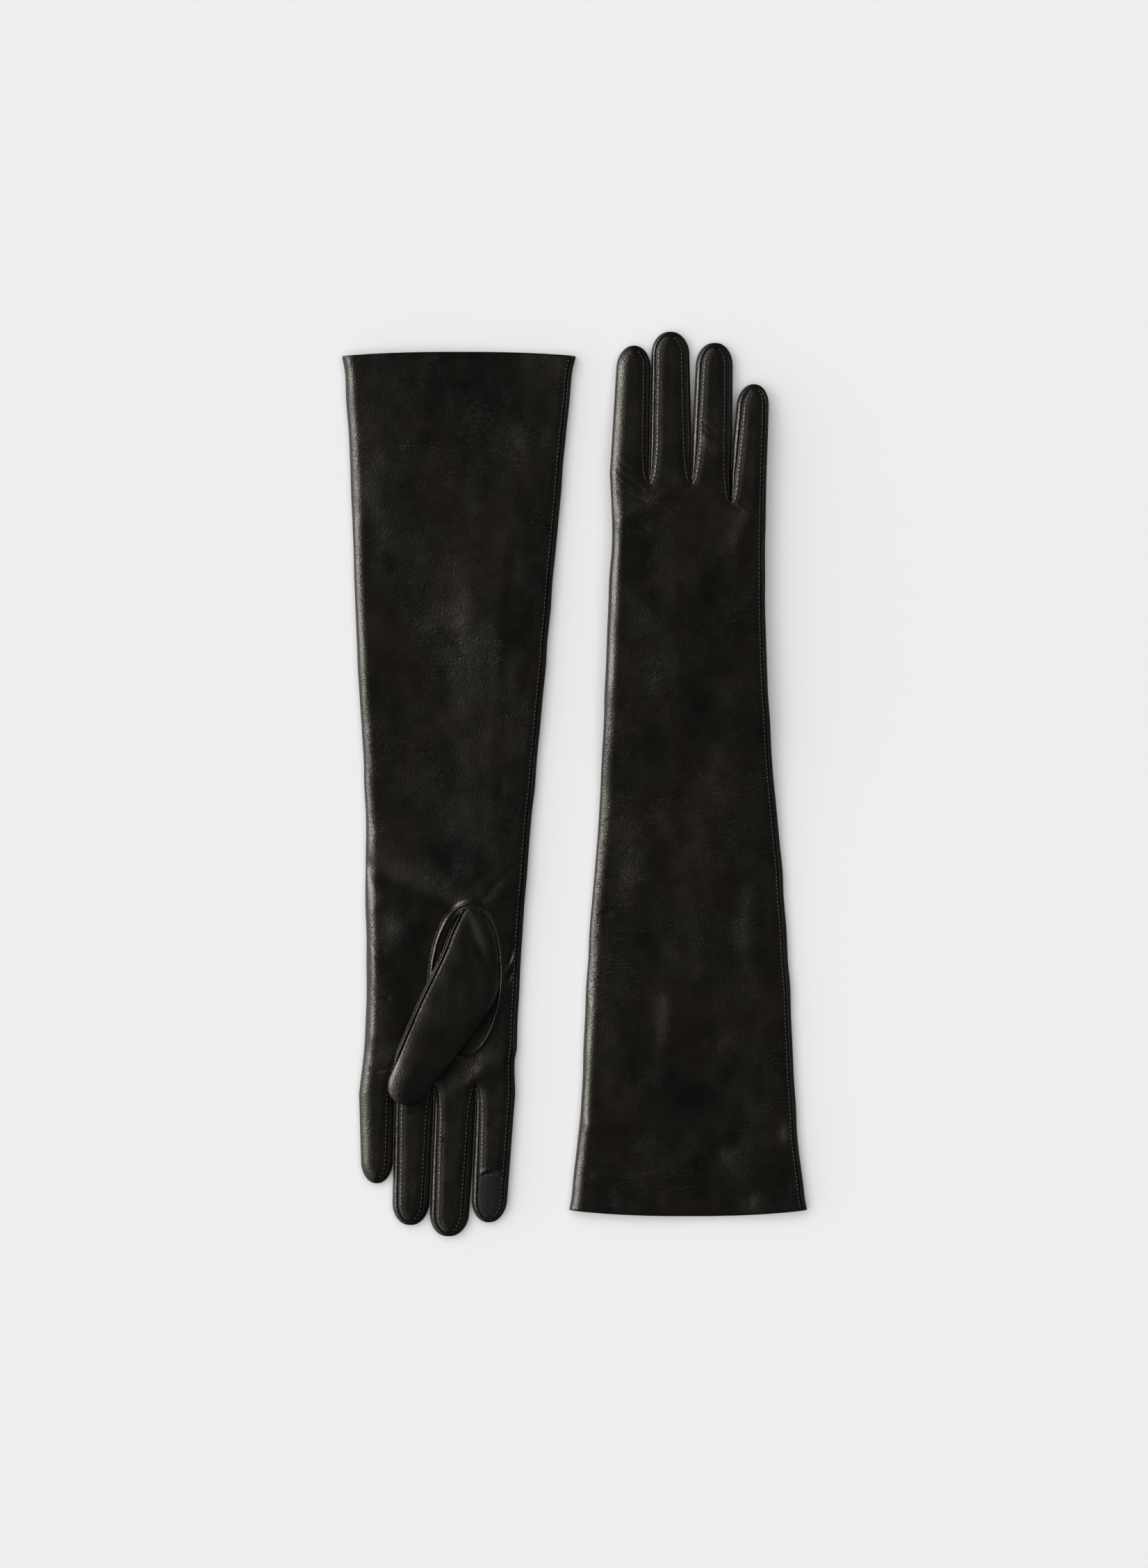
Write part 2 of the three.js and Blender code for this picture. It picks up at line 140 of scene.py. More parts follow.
@dataclass(frozen=True)
class Undulation:
    """Random soft hills: seeded heights on a square lattice, joined by smooth steps.

    Attributes:
        seed: Seed of the lattice heights.
        across: Lattice step along u, in millimetres.
        along: Lattice step along v, in millimetres.
        turn: How far the lattice is turned, in radians.
        size: How many heights the lattice has each way.
        shift: How far the lattice is moved from the glove's origin, in lattice steps.
    """

    seed: int
    across: float
    along: float
    turn: float = 0.0
    size: int = 97
    shift: Pair = (31.7, 17.3)

    def at(self, u: Array, v: Array) -> Array:
        """Heights from -1 to 1 at the points u, v.

        Args:
            u: Across.
            v: Along.

        Returns:
            The height at each point.
        """
        table = np.random.default_rng(self.seed).uniform(-1, 1, (self.size, self.size))
        cosine, sine = math.cos(self.turn), math.sin(self.turn)
        x = (u * cosine + v * sine) / self.across + self.shift[0]
        y = (v * cosine - u * sine) / self.along + self.shift[1]
        i, j = np.floor(x).astype(int), np.floor(y).astype(int)
        s, t = smoothstep(x - i, 0, 1), smoothstep(y - j, 0, 1)
        i, j = i % (self.size - 1), j % (self.size - 1)
        near = table[i, j] * (1 - s) + table[i + 1, j] * s
        far = table[i, j + 1] * (1 - s) + table[i + 1, j + 1] * s
        return near * (1 - t) + far * t


@dataclass(frozen=True)
class Fold:
    """A soft ridge or hollow of rounded section along a straight line.

    Attributes:
        start: One end of the line, (u, v).
        end: Its other end, (u, v).
        width: Half the width of the ridge.
        height: Its height, negative for a hollow.
    """

    start: Pair
    end: Pair
    width: float
    height: float

    def at(self, u: Array, v: Array) -> Array:
        """Height of the fold at u, v: a Gaussian of the distance to the line.

        Args:
            u: Across.
            v: Along.

        Returns:
            The height at each point.
        """
        du, dv = self.end[0] - self.start[0], self.end[1] - self.start[1]
        t = np.clip(((u - self.start[0]) * du + (v - self.start[1]) * dv) / (du * du + dv * dv), 0, 1)
        distance = np.hypot(u - self.start[0] - t * du, v - self.start[1] - t * dv)
        return self.height * bump(distance, 0, self.width)


# ------------------------------------------------------------------ finishes


class Graph:
    """A material's node tree, with short calls to add nodes and links."""

    def __init__(self, name: str) -> None:
        """Makes an empty material with a principled shader and an output.

        Args:
            name: Name of the material.
        """
        self.material = bpy.data.materials.new(name)
        self.material.use_nodes = True
        self.tree = self.material.node_tree
        self.tree.nodes.clear()
        self.shader = self.node("ShaderNodeBsdfPrincipled")
        output = self.node("ShaderNodeOutputMaterial")
        self.link(self.shader.outputs["BSDF"], output.inputs["Surface"])
        self.coords = self.node("ShaderNodeTexCoord").outputs["Object"]

    def node(self, kind: str, **inputs: object) -> bpy.types.Node:
        """Adds a node and sets its named inputs.

        Args:
            kind: The node's type name.
            **inputs: Values of its sockets, with _ for a space in the name.

        Returns:
            The new node.
        """
        made = self.tree.nodes.new(kind)
        for name, value in inputs.items():
            made.inputs[name.replace("_", " ")].default_value = value
        return made

    def link(self, output: bpy.types.NodeSocket, socket: bpy.types.NodeSocket) -> None:
        """Joins an output to an input."""
        self.tree.links.new(output, socket)

    def noise(
        self, size: float, detail: float = 2, stretch: Sequence[float] = (1, 1, 1)
    ) -> bpy.types.NodeSocket:
        """Noise on the object's coordinates.

        Args:
            size: Size of a blotch in metres.
            detail: How many finer layers it has.
            stretch: Scale of the coordinates along each axis; a small value draws the blotches out.

        Returns:
            The noise's value, from about 0.2 to 0.8.
        """
        mapping = self.node("ShaderNodeMapping", Scale=tuple(stretch))
        self.link(self.coords, mapping.inputs["Vector"])
        texture = self.node("ShaderNodeTexNoise", Scale=1 / size, Detail=detail, Roughness=0.6)
        self.link(mapping.outputs["Vector"], texture.inputs["Vector"])
        return texture.outputs["Fac"]

    def spread(
        self, value: bpy.types.NodeSocket, low: float, high: float, to: Pair = (0, 1)
    ) -> bpy.types.NodeSocket:
        """Maps low..high of a value onto the range to, clamped.

        Args:
            value: The value.
            low: Where the range begins.
            high: Where it ends.
            to: What the two become.

        Returns:
            The result.
        """
        ranged = self.node("ShaderNodeMapRange")
        for name, number in (("From Min", low), ("From Max", high), ("To Min", to[0]), ("To Max", to[1])):
            ranged.inputs[name].default_value = number
        self.link(value, ranged.inputs["Value"])
        return ranged.outputs["Result"]

    def mottle(self, size: float, detail: float, to: Pair = (0, 1)) -> bpy.types.NodeSocket:
        """Soft blotches of that size, spread over the range to."""
        return self.spread(self.noise(size, detail), *MOTTLED, to)

    def arithmetic(
        self, operation: str, a: bpy.types.NodeSocket, b: bpy.types.NodeSocket | None = None
    ) -> bpy.types.NodeSocket:
        """One sum on values.

        Args:
            operation: Name of the sum.
            a: Its first value.
            b: Its second value, where it has one.

        Returns:
            The result.
        """
        made = self.node("ShaderNodeMath")
        made.operation = operation
        self.link(a, made.inputs[0])
        if b is not None:
            self.link(b, made.inputs[1])
        return made.outputs["Value"]

    def lines(self, size: float, stretch: Sequence[float], width: float) -> bpy.types.NodeSocket:
        """Thin wandering lines, where a noise passes its middle value.

        Args:
            size: Size of the noise's blotches in metres.
            stretch: Scale of the coordinates along each axis.
            width: Half a line's width, as a difference of the noise's value.

        Returns:
            A value that is 1 on the lines and 0 off them.
        """
        apart = self.arithmetic("SUBTRACT", self.noise(size, 3, stretch))
        apart.node.inputs[1].default_value = 0.5
        return self.spread(self.arithmetic("ABSOLUTE", apart), 0, width, (1, 0))

    def mix(self, share: bpy.types.NodeSocket, low: Sequence[float], high: Sequence[float]) -> None:
        """Colours the shader between two colours by a share from 0 to 1.

        Args:
            share: The share.
            low: Colour at 0.
            high: Colour at 1.
        """
        ramp = self.node("ShaderNodeValToRGB")
        ramp.color_ramp.elements[0].color = (*low, 1)
        ramp.color_ramp.elements[1].color = (*high, 1)
        self.link(share, ramp.inputs["Fac"])
        self.link(ramp.outputs["Color"], self.shader.inputs["Base Color"])

    def relief(self, *layers: tuple[bpy.types.NodeSocket, float, float]) -> None:
        """Stacks bump layers onto the shader's normal.

        Args:
            *layers: The height, strength and distance in metres of each layer.
        """
        normal = None
        for height, strength, distance in layers:
            layer = self.node("ShaderNodeBump", Strength=strength, Distance=distance)
            self.link(height, layer.inputs["Height"])
            if normal is not None:
                self.link(normal, layer.inputs["Normal"])
            normal = layer.outputs["Normal"]
        self.link(normal, self.shader.inputs["Normal"])

    def settle(self, **inputs: object) -> None:
        """Sets the shader's own named inputs, with _ for a space in the name."""
        for name, value in inputs.items():
            self.shader.inputs[name.replace("_", " ")].default_value = value


@dataclass(frozen=True)
class Nappa:
    """Smooth glove leather: fine pebbled grain, drawn-out creases, patchy gloss and partly painted sheen.

    Sizes and depths are in metres.

    Attributes:
        name: Name of the material.
        slot: Not used.
        dark: Colour between the lighter patches.
        light: Colour on the lighter patches, partly uneven tone and partly painted sheen.
        gloss: Lowest and highest roughness.
        creases: Strength of the drawn-out creases.
        grain: Strength of the fine grain.
        patch: Size of the lighter patches of tone and painted sheen.
        blotch: Size of the blotches of gloss.
        creased: Size of the places that have long creases and of those that have short ones.
        wander: Size of the wandering of the long creases and of the short ones.
        depth: Depth of the long creases and of the short ones.
        pebbles: How many pebbles of grain there are along a metre.
        pebble_depth: Depth of the grain.
        warmth: Tint of the highlights.
    """

    name: str
    slot: str = "leather"
    dark: tuple[float, float, float] = (0.0008, 0.0006, 0.0004)
    light: tuple[float, float, float] = (0.0043, 0.0032, 0.0021)
    gloss: Pair = (0.26, 0.38)
    creases: float = 0.75
    grain: float = 0.7
    patch: float = 0.05
    blotch: float = 0.011
    creased: Pair = (0.03, 0.02)
    wander: Pair = (0.0045, 0.0022)
    depth: Pair = (0.00015, 0.00009)
    pebbles: float = 1150.0
    pebble_depth: float = 0.00015
    warmth: tuple[float, float, float, float] = (1, 0.93, 0.83, 1)

    def long_creases(self, graph: Graph) -> bpy.types.NodeSocket:
        """Long creases across the glove, where the leather is creased: 0 in a crease and 1 off it.

        Args:
            graph: The material's nodes.

        Returns:
            The creases' height.
        """
        places = graph.spread(graph.noise(self.creased[0], 2, (0.5, 1, 1)), 0.43, 0.62)
        lines = graph.lines(self.wander[0], (0.16, 1, 1), 0.035)
        return graph.spread(graph.arithmetic("MULTIPLY", lines, places), 0, 1, (1, 0))

    def short_creases(self, graph: Graph) -> bpy.types.NodeSocket:
        """Short creases across the glove, where the leather is crinkled: 0 in a crease and 1 off it.

        Args:
            graph: The material's nodes.

        Returns:
            The creases' height.
        """
        places = graph.spread(graph.noise(self.creased[1], 3, (0.6, 1, 1)), 0.44, 0.68)
        lines = graph.lines(self.wander[1], (0.24, 1, 1), 0.07)
        return graph.spread(graph.arithmetic("MULTIPLY", lines, places), 0, 1, (1, 0))

    def material(self) -> bpy.types.Material:
        """The leather's material."""
        graph = Graph(self.name)
        # Base colour: lighter patches by noise, partly the leather's uneven tone and partly painted sheen.
        graph.mix(graph.spread(graph.noise(self.patch, 3), 0.32, 0.7), self.dark, self.light)
        blotches = graph.noise(self.blotch, 4, (1, 0.7, 1))
        graph.link(graph.spread(blotches, *MOTTLED, self.gloss), graph.shader.inputs["Roughness"])
        pebbles = graph.node("ShaderNodeTexVoronoi", Scale=self.pebbles, Randomness=1.0)
        graph.link(graph.coords, pebbles.inputs["Vector"])
        graph.relief(
            (self.long_creases(graph), self.creases, self.depth[0]),
            (self.short_creases(graph), self.creases, self.depth[1]),
            (pebbles.outputs["Distance"], self.grain, self.pebble_depth),
        )
        graph.settle(IOR=1.5, Specular_IOR_Level=0.5, Specular_Tint=self.warmth)
        graph.settle(Coat_Weight=0.06, Coat_Roughness=0.22)
        return graph.material


@dataclass(frozen=True)
class CoatedCloth:
    """Matte conductive cloth: a fine twill under a rubbery coat.

    Attributes:
        name: Name of the material.
        slot: Not used.
        dark: Darkest colour.
        light: Lightest colour.
        thread: Width of a twill line, in metres.
    """

    name: str = "coated_twill"
    slot: str = "touch_cloth"
    dark: tuple[float, float, float] = (0.0017, 0.002, 0.0026)
    light: tuple[float, float, float] = (0.0035, 0.0039, 0.0048)
    thread: float = 0.0006

    def material(self) -> bpy.types.Material:
        """The coated cloth's material."""
        graph = Graph(self.name)
        graph.mix(graph.mottle(0.006, 3), self.dark, self.light)
        graph.link(graph.mottle(0.003, 3, (0.62, 0.78)), graph.shader.inputs["Roughness"])
        twill = graph.node("ShaderNodeTexWave", Scale=0.1 / self.thread, Distortion=1.2, Detail=2.0)
        twill.bands_direction = "DIAGONAL"
        graph.link(graph.coords, twill.inputs["Vector"])
        graph.relief((twill.outputs["Fac"], 0.35, 0.00012), (graph.noise(0.0015, 3), 0.3, 0.0002))
        graph.settle(Specular_IOR_Level=0.22, Sheen_Weight=0.015, Sheen_Roughness=0.5)
        return graph.material


@dataclass(frozen=True)
class Knit:
    """Fine jersey lining: rows of small loops.

    Attributes:
        name: Name of the material.
        slot: Not used.
        dark: Darkest colour.
        light: Lightest colour.
        loop: Size of a loop, in metres.
    """

    name: str = "lining_knit"
    slot: str = "lining"
    dark: tuple[float, float, float] = (0.008, 0.008, 0.01)
    light: tuple[float, float, float] = (0.02, 0.02, 0.024)
    loop: float = 0.0012

    def material(self) -> bpy.types.Material:
        """The jersey's material."""
        graph = Graph(self.name)
        graph.mix(graph.mottle(0.01, 3), self.dark, self.light)
        graph.link(graph.mottle(0.002, 2, (0.7, 0.9)), graph.shader.inputs["Roughness"])
        loops = graph.node("ShaderNodeTexVoronoi", Scale=1 / self.loop, Randomness=0.15)
        graph.link(graph.coords, loops.inputs["Vector"])
        graph.relief((loops.outputs["Distance"], 0.7, 0.0003))
        graph.settle(Sheen_Weight=0.3)
        return graph.material


@dataclass(frozen=True)
class Thread:
    """Waxed sewing thread with its twist, its grey partly painted highlight.

    Attributes:
        name: Name of the material.
        slot: Not used.
        dark: Darkest colour.
        light: Lightest colour.
        twist: Length of a turn of the twist, in metres.
    """

    name: str = "thread"
    slot: str = "seam_leather"
    dark: tuple[float, float, float] = (0.03, 0.027, 0.024)
    light: tuple[float, float, float] = (0.075, 0.068, 0.06)
    twist: float = 0.0005

    def material(self) -> bpy.types.Material:
        """The thread's material."""
        graph = Graph(self.name)
        # Grey thread: partly its own colour and partly painted highlight on the stitches.
        graph.mix(graph.mottle(0.004, 2), self.dark, self.light)
        graph.link(graph.mottle(0.001, 2, (0.35, 0.5)), graph.shader.inputs["Roughness"])
        wave = graph.node("ShaderNodeTexWave", Scale=0.1 / self.twist, Distortion=0.5)
        wave.bands_direction = "DIAGONAL"
        graph.link(graph.coords, wave.inputs["Vector"])
        graph.relief((wave.outputs["Fac"], 0.5, 0.0001))
        return graph.material


@dataclass(frozen=True)
class StudioFloor:
    """Plain pale studio floor, with the faintest mottling.

    Attributes:
        name: Name of the material.
        dark: Darkest grey.
        light: Lightest grey.
    """

    name: str = "studio_floor"
    dark: float = 0.8
    light: float = 0.808

    def material(self) -> bpy.types.Material:
        """The floor's material."""
        graph = Graph(self.name)
        graph.mix(graph.mottle(0.6, 2), (self.dark,) * 3, (self.light,) * 3)
        graph.settle(Roughness=0.9, Specular_IOR_Level=0.1)
        return graph.material


@dataclass(frozen=True)
class StudioWall:
    """Pale studio wall that shines with its own even light.

    Attributes:
        name: Name of the material.
        pale: Its grey.
    """

    name: str = "studio_wall"
    pale: float = 0.84

    def material(self) -> bpy.types.Material:
        """The wall's material."""
        graph = Graph(self.name)
        graph.settle(Base_Color=(0, 0, 0, 1), Specular_IOR_Level=0)
        graph.settle(Emission_Color=(*(self.pale,) * 3, 1), Emission_Strength=1)
        return graph.material


class Finish(Enum):
    """The finishes that a piece may have."""

    PANEL = Nappa("panel_nappa")
    FINGER = Nappa("finger_nappa", creases=0.5, gloss=(0.29, 0.41))
    SEAM = Nappa("strip_nappa", slot="seam_leather", creases=0.6)
    TOUCH = CoatedCloth()
    LINING = Knit()
    THREAD = Thread()
    FLOOR = StudioFloor()
    BACKDROP = StudioWall()

    def made(self) -> bpy.types.Material:
        """This finish's material, made once."""
        found = bpy.data.materials.get(self.value.name)
        return found or self.value.material()


# ------------------------------------------------------------------ meshes


@dataclass
class Skin:
    """Collects grids of points into one mesh.

    Attributes:
        points: Vertices so far, in metres.
        faces: Quads so far, as rows of four vertex numbers.
        count: How many vertices there are so far.
    """

    points: list[Array] = field(default_factory=list)
    faces: list[NDArray[np.int64]] = field(default_factory=list)
    count: int = 0

    def add(
        self,
        grid: Array,
        inner: Array,
        keep: NDArray[np.bool_] | None = None,
        inside_out: bool = False,
    ) -> "Skin":
        """Adds a grid of quads whose faces point away from the inner points.

        Args:
            grid: Points of shape (rows, columns, 3), in metres.
            inner: Points inside the piece, of the same shape or one that stretches to it.
            keep: Which of the (rows - 1, columns - 1) quads are wanted; all by default.
            inside_out: True for faces that point towards the inner points.

        Returns:
            This skin.
        """
        rows, columns = grid.shape[:2]
        corner = np.arange(rows - 1)[:, None] * columns + np.arange(columns - 1)[None, :]
        quads = np.stack([corner, corner + 1, corner + columns + 1, corner + columns], -1)
        first = grid[:-1, 1:] - grid[:-1, :-1] + grid[1:, 1:] - grid[1:, :-1]
        second = grid[1:, :-1] - grid[:-1, :-1] + grid[1:, 1:] - grid[:-1, 1:]
        away = (grid - inner)[:-1, :-1]
        outwards = np.sum(np.cross(first, second) * away) >= 0
        if outwards == inside_out:
            quads = quads[..., ::-1]
        if keep is not None:
            quads = quads[keep]
        self.points.append(grid.reshape(-1, 3))
        self.faces.append(quads.reshape(-1, 4) + self.count)
        self.count += rows * columns
        return self

    def piece(self, name: str, finish: Finish) -> bpy.types.Object:
        """Makes the object: the grids welded where they meet, smooth-shaded and dressed.

        Args:
            name: Name of the piece.
            finish: Its finish.

        Returns:
            The new object, at the origin.
        """
        mesh = bpy.data.meshes.new(name)
        mesh.from_pydata(np.concatenate(self.points), [], np.concatenate(self.faces))
        work = bmesh.new()
        work.from_mesh(mesh)
        bmesh.ops.remove_doubles(work, verts=work.verts, dist=WELD)
        loose = [v for v in work.verts if not v.link_faces]
        bmesh.ops.delete(work, geom=loose, context="VERTS")
        work.to_mesh(mesh)
        work.free()
        mesh.polygons.foreach_set("use_smooth", np.ones(len(mesh.polygons), bool))
        mesh.materials.append(finish.made())
        mesh.update()
        made = bpy.data.objects.new(name, mesh)
        bpy.context.scene.collection.objects.link(made)
        hasattr(finish.value, "slot")
        log.info("%s: %d faces", name, len(mesh.polygons))
        return made


def crowded(count: int, crowding: float = 0.115) -> Array:
    """Shares from 0 to 1 that crowd together at both ends: t - crowding sin(2 pi t).

    Args:
        count: How many shares.
        crowding: How much they crowd; 0 is even.

    Returns:
        The shares, rising.
    """
    t = np.linspace(0, 1, count)
    return t - crowding * np.sin(2 * np.pi * t)


# ------------------------------------------------------------------ the glove's pattern


@dataclass(frozen=True)
class FingerCut:
    """One finger of the pattern.

    Attributes:
        name: Name of the finger.
        middle: u of its middle at the root.
        width: Its width at the root.
        length: From the finger roots to its tip.
        crease: From the finger roots to its bending crease.
    """

    name: str
    middle: float
    width: float
    length: float
    crease: float


@dataclass(frozen=True)
class Pattern:
    """The flat pattern that both hands share, in millimetres.

    Attributes:
        thickness: Of the glove as it lies, from back to palm.
        roots: v of the finger roots.
        taper: How much narrower each side of a finger is at its tip.
        tip_round: Length of the rounded end of a finger's seam line.
        seam_in: How far the seam lines lie inside the outline.
        fourchette: How far a strip between two fingers stands out.
        half_widths: Half the glove's width, as (v, half width).
        fingers: The four fingers, from the index.
        crotches: v of the three crotches between them.
        crotch_drop: How far the slot between two faces goes on below its crotch.
        crotch_opening: Length over which a slot opens.
        split_before_crease: How far before its crease a finger's own pieces begin.
        touch_length: Length of the touch tip.
        touch_arch: Rise of its arched seam.
        sleeve_shoulder: How far from the side edge the sleeve's face rounds over.
        finger_shoulder: The same on a finger.
        air: Air left between two strips in a slot.
    """

    thickness: float = 9.0
    roots: float = 427.0
    taper: float = 1.6
    tip_round: float = 11.0
    seam_in: float = 2.4
    fourchette: float = 3.5
    half_widths: tuple[Pair, ...] = ((0, 67), (12, 65), (180, 53.5), (300, 45.75), (370, 44), (427, 45))
    fingers: tuple[FingerCut, ...] = (
        FingerCut("index", -34.0, 22.0, 74.0, 23.0),
        FingerCut("middle", -10.4, 23.2, 82.0, 28.0),
        FingerCut("ring", 13.1, 21.8, 75.5, 23.0),
        FingerCut("little", 35.0, 20.0, 51.5, 11.0),
    )
    crotches: tuple[float, ...] = (427.0, 427.0, 416.0)
    crotch_drop: float = 5.0
    crotch_opening: float = 24.0
    split_before_crease: float = 12.0
    touch_length: float = 26.0
    touch_arch: float = 2.5
    sleeve_shoulder: float = 6.5
    finger_shoulder: float = 7.5
    air: float = 0.15

    @property
    def edge(self) -> float:
        """Height of the middle plane, half the thickness."""
        return self.thickness / 2

    def shoulder(self, v: Array) -> Array:
        """Distance from the side edge over which the face rounds over, at v."""
        share = smoothstep(v, self.roots - 60, self.roots)
        return self.sleeve_shoulder + (self.finger_shoulder - self.sleeve_shoulder) * share

    def split(self, i: int) -> float:
        """v at which the hand ends and finger i begins."""
        return self.roots + self.fingers[i].crease - self.split_before_crease

    def bottom(self, i: int) -> float:
        """v of the end of the slot after finger i."""
        return self.crotches[i] - self.crotch_drop

    def tip(self, i: int) -> float:
        """v of the end of finger i's seam line."""
        return self.roots + self.fingers[i].length - self.seam_in

    @property
    def touch_seam(self) -> float:
        """v of the ends of the touch tip's arched seam."""
        return self.roots + self.fingers[0].length - self.touch_length


# ------------------------------------------------------------------ how a glove lies


@dataclass(frozen=True)
class Pose:
    """How one glove of the pair lies: its side, bow, leaning fingers, folds and creases.

    Attributes:
        name: left or right.
        palm_up: Which face is up.
        bow: Sideways bow of the centre line, as (v, offset).
        lean: Sideways lean of each fingertip.
        sewn: Depth of the seam groove at the index side and at the little side.
        folds: Soft folds of the whole glove.
        creases: Fine creases of the upper face.
        swell: How far the index side and the little side stand out from the pattern, as (v, distance).
        cuff_curve: How far the corners of the cuff are set back from its middle.
        seed: Seed of the undulations.
    """

    name: str
    palm_up: bool
    bow: tuple[Pair, ...]
    lean: tuple[float, ...]
    sewn: Pair
    folds: tuple[Fold, ...]
    creases: tuple[Fold, ...]
    swell: tuple[tuple[Pair, ...], tuple[Pair, ...]]
    cuff_curve: float
    seed: int


LEFT = Pose(
    name="left",
    palm_up=True,
    bow=((0, -8), (300, -1.2), (427, 4.5)),
    lean=(4, 3.9, 2.4, 0.1),
    sewn=(0.9, 0.0),
    folds=(
        Fold((46, 296), (-4, 318), 6.0, -1.7),
        Fold((38, 281), (-2, 303), 9.0, 0.9),
        Fold((-16, 300), (-30, 308), 10.0, 1.3),
        Fold((34, 318), (26, 330), 9.0, 1.0),
        Fold((-36, 316), (-44, 322), 5.0, -0.7),
        Fold((14, 342), (20, 378), 8.0, -0.9),
        Fold((36, 348), (30, 384), 9.0, 0.8),
        Fold((-28, 120), (-24, 270), 4.5, 0.14),
        Fold((-34, 110), (-31, 250), 3.5, -0.1),
        Fold((-40, 405), (-12, 424), 7.0, 0.8),
        Fold((-26, 412), (-20, 420), 4.0, 0.6),
        Fold((22, 335), (23, 398), 13.0, 1.5),
        Fold((41, 322), (39, 392), 8.0, 1.0),
    ),
    creases=(
        Fold((-37.5, 352), (-40, 343), 1.1, -0.45),
        Fold((-37, 362), (-40.5, 356), 1.1, -0.55),
        Fold((-36, 357), (-41, 349), 1.6, 0.4),
        Fold((44, 412), (35, 413.5), 1.0, -0.5),
        Fold((34, 413.5), (27, 411), 1.0, -0.35),
        Fold((-20, 315), (-27, 311), 1.2, -0.2),
        Fold((-24, 310), (-34, 301), 1.4, -0.18),
        Fold((-31, 316), (-39, 313), 1.2, -0.2),
        Fold((-16, 304), (-24, 300), 1.2, -0.16),
        Fold((-33, 300), (-42, 293), 1.2, -0.16),
        Fold((-27, 306), (-31, 308), 1.3, -0.16),
        Fold((-3, 300), (-18, 297), 1.0, -0.2),
        Fold((3, 306), (-8, 309), 1.0, -0.2),
        Fold((38, 349), (26, 351), 1.0, -0.24),
        Fold((34, 357), (22, 355), 1.0, -0.22),
        Fold((24, 342), (12, 345), 1.0, -0.2),
        Fold((44, 340), (34, 344), 1.6, -0.4),
        Fold((44, 366), (31, 371), 1.6, -0.35),
        Fold((23, 438.5), (16, 440), 0.9, -0.3),
        Fold((-4, 453), (-13, 455.5), 0.9, -0.45),
        Fold((-6, 478.5), (-15, 480), 0.9, -0.4),
        Fold((-31, 444.5), (-40, 447), 1.0, -0.4),
        Fold((-30, 474.5), (-41, 472), 1.2, 0.45),
        Fold((-30, 471.5), (-41, 469.5), 1.0, -0.35),
    ),
    swell=(
        ((0, 0.4), (100, 0.3), (400, 0.2), (408, -0.8), (427, 0)),
        (
            *((0, 0.6), (60, 0), (148, 0.9), (225, 0.3), (268, 0.2)),
            *((308, 1.5), (346, 0.5), (380, -0.8), (404, -1.0), (427, 0)),
        ),
    ),
    cuff_curve=2.4,
    seed=11,
)

RIGHT = Pose(
    name="right",
    palm_up=False,
    bow=((0, 0), (300, 0), (427, 0)),
    lean=(3, 0, 2.5, 3.5),
    sewn=(0.0, 0.9),
    folds=(
        Fold((-13, 86), (-9, 122), 7.0, 1.1),
        Fold((41, 132), (38, 152), 9.0, 0.8),
        Fold((24, 165), (28, 188), 9.0, -1.0),
        Fold((28, 44), (50, 47), 6.0, -1.4),
        Fold((-56, 52), (-30, 50), 3.5, 0.7),
        Fold((-6, 40), (16, 36), 8.0, -0.9),
        Fold((-44, 14), (-20, 10), 5.0, -0.7),
        Fold((10, 12), (34, 9), 5.0, -0.8),
        Fold((-52, 22), (52, 22), 2.2, 0.35),
        Fold((-30, 180), (-22, 215), 9.0, 0.7),
        Fold((6, 250), (14, 300), 10.0, -0.7),
        Fold((30, 388), (36, 402), 6.0, 0.9),
        Fold((-40, 398), (-14, 414), 5.0, 0.7),
        Fold((12, 446), (20, 438), 4.0, 0.5),
    ),
    creases=(
        Fold((-43, 436), (-31, 426), 1.2, -0.22),
        Fold((-43, 429), (-26, 417), 1.4, -0.3),
        Fold((-41, 423), (-34, 418), 1.1, -0.2),
        Fold((-43, 416), (-24, 410), 1.5, -0.22),
        Fold((7, 457), (15, 450), 0.9, -0.35),
        Fold((7, 453), (13, 448), 0.8, -0.3),
        Fold((-36, 402), (-24, 394), 1.3, -0.2),
        Fold((18, 414), (30, 405), 1.2, -0.2),
        Fold((30, 410), (40, 402), 1.2, -0.22),
        Fold((-48, 214), (-34, 210), 1.2, -0.25),
        Fold((-50, 226), (-38, 229), 1.1, -0.22),
        Fold((-52, 172), (-44, 174), 1.2, -0.4),
        Fold((-52, 160), (-42, 158), 1.2, -0.35),
    ),
    swell=(
        (
            *((0, 1.4), (14, 1.8), (34, 0.9), (60, 0.2), (148, 1.9)),
            *((230, 1.0), (268, 1.9), (350, 2.0), (392, -0.6), (427, 0)),
        ),
        (
            *((0, 1.8), (14, 2.2), (34, 0.9), (60, 0.7), (148, 2.3)),
            *((190, 2.2), (228, 1.6), (268, 0.4), (427, 0)),
        ),
    ),
    cuff_curve=3.4,
    seed=29,
)


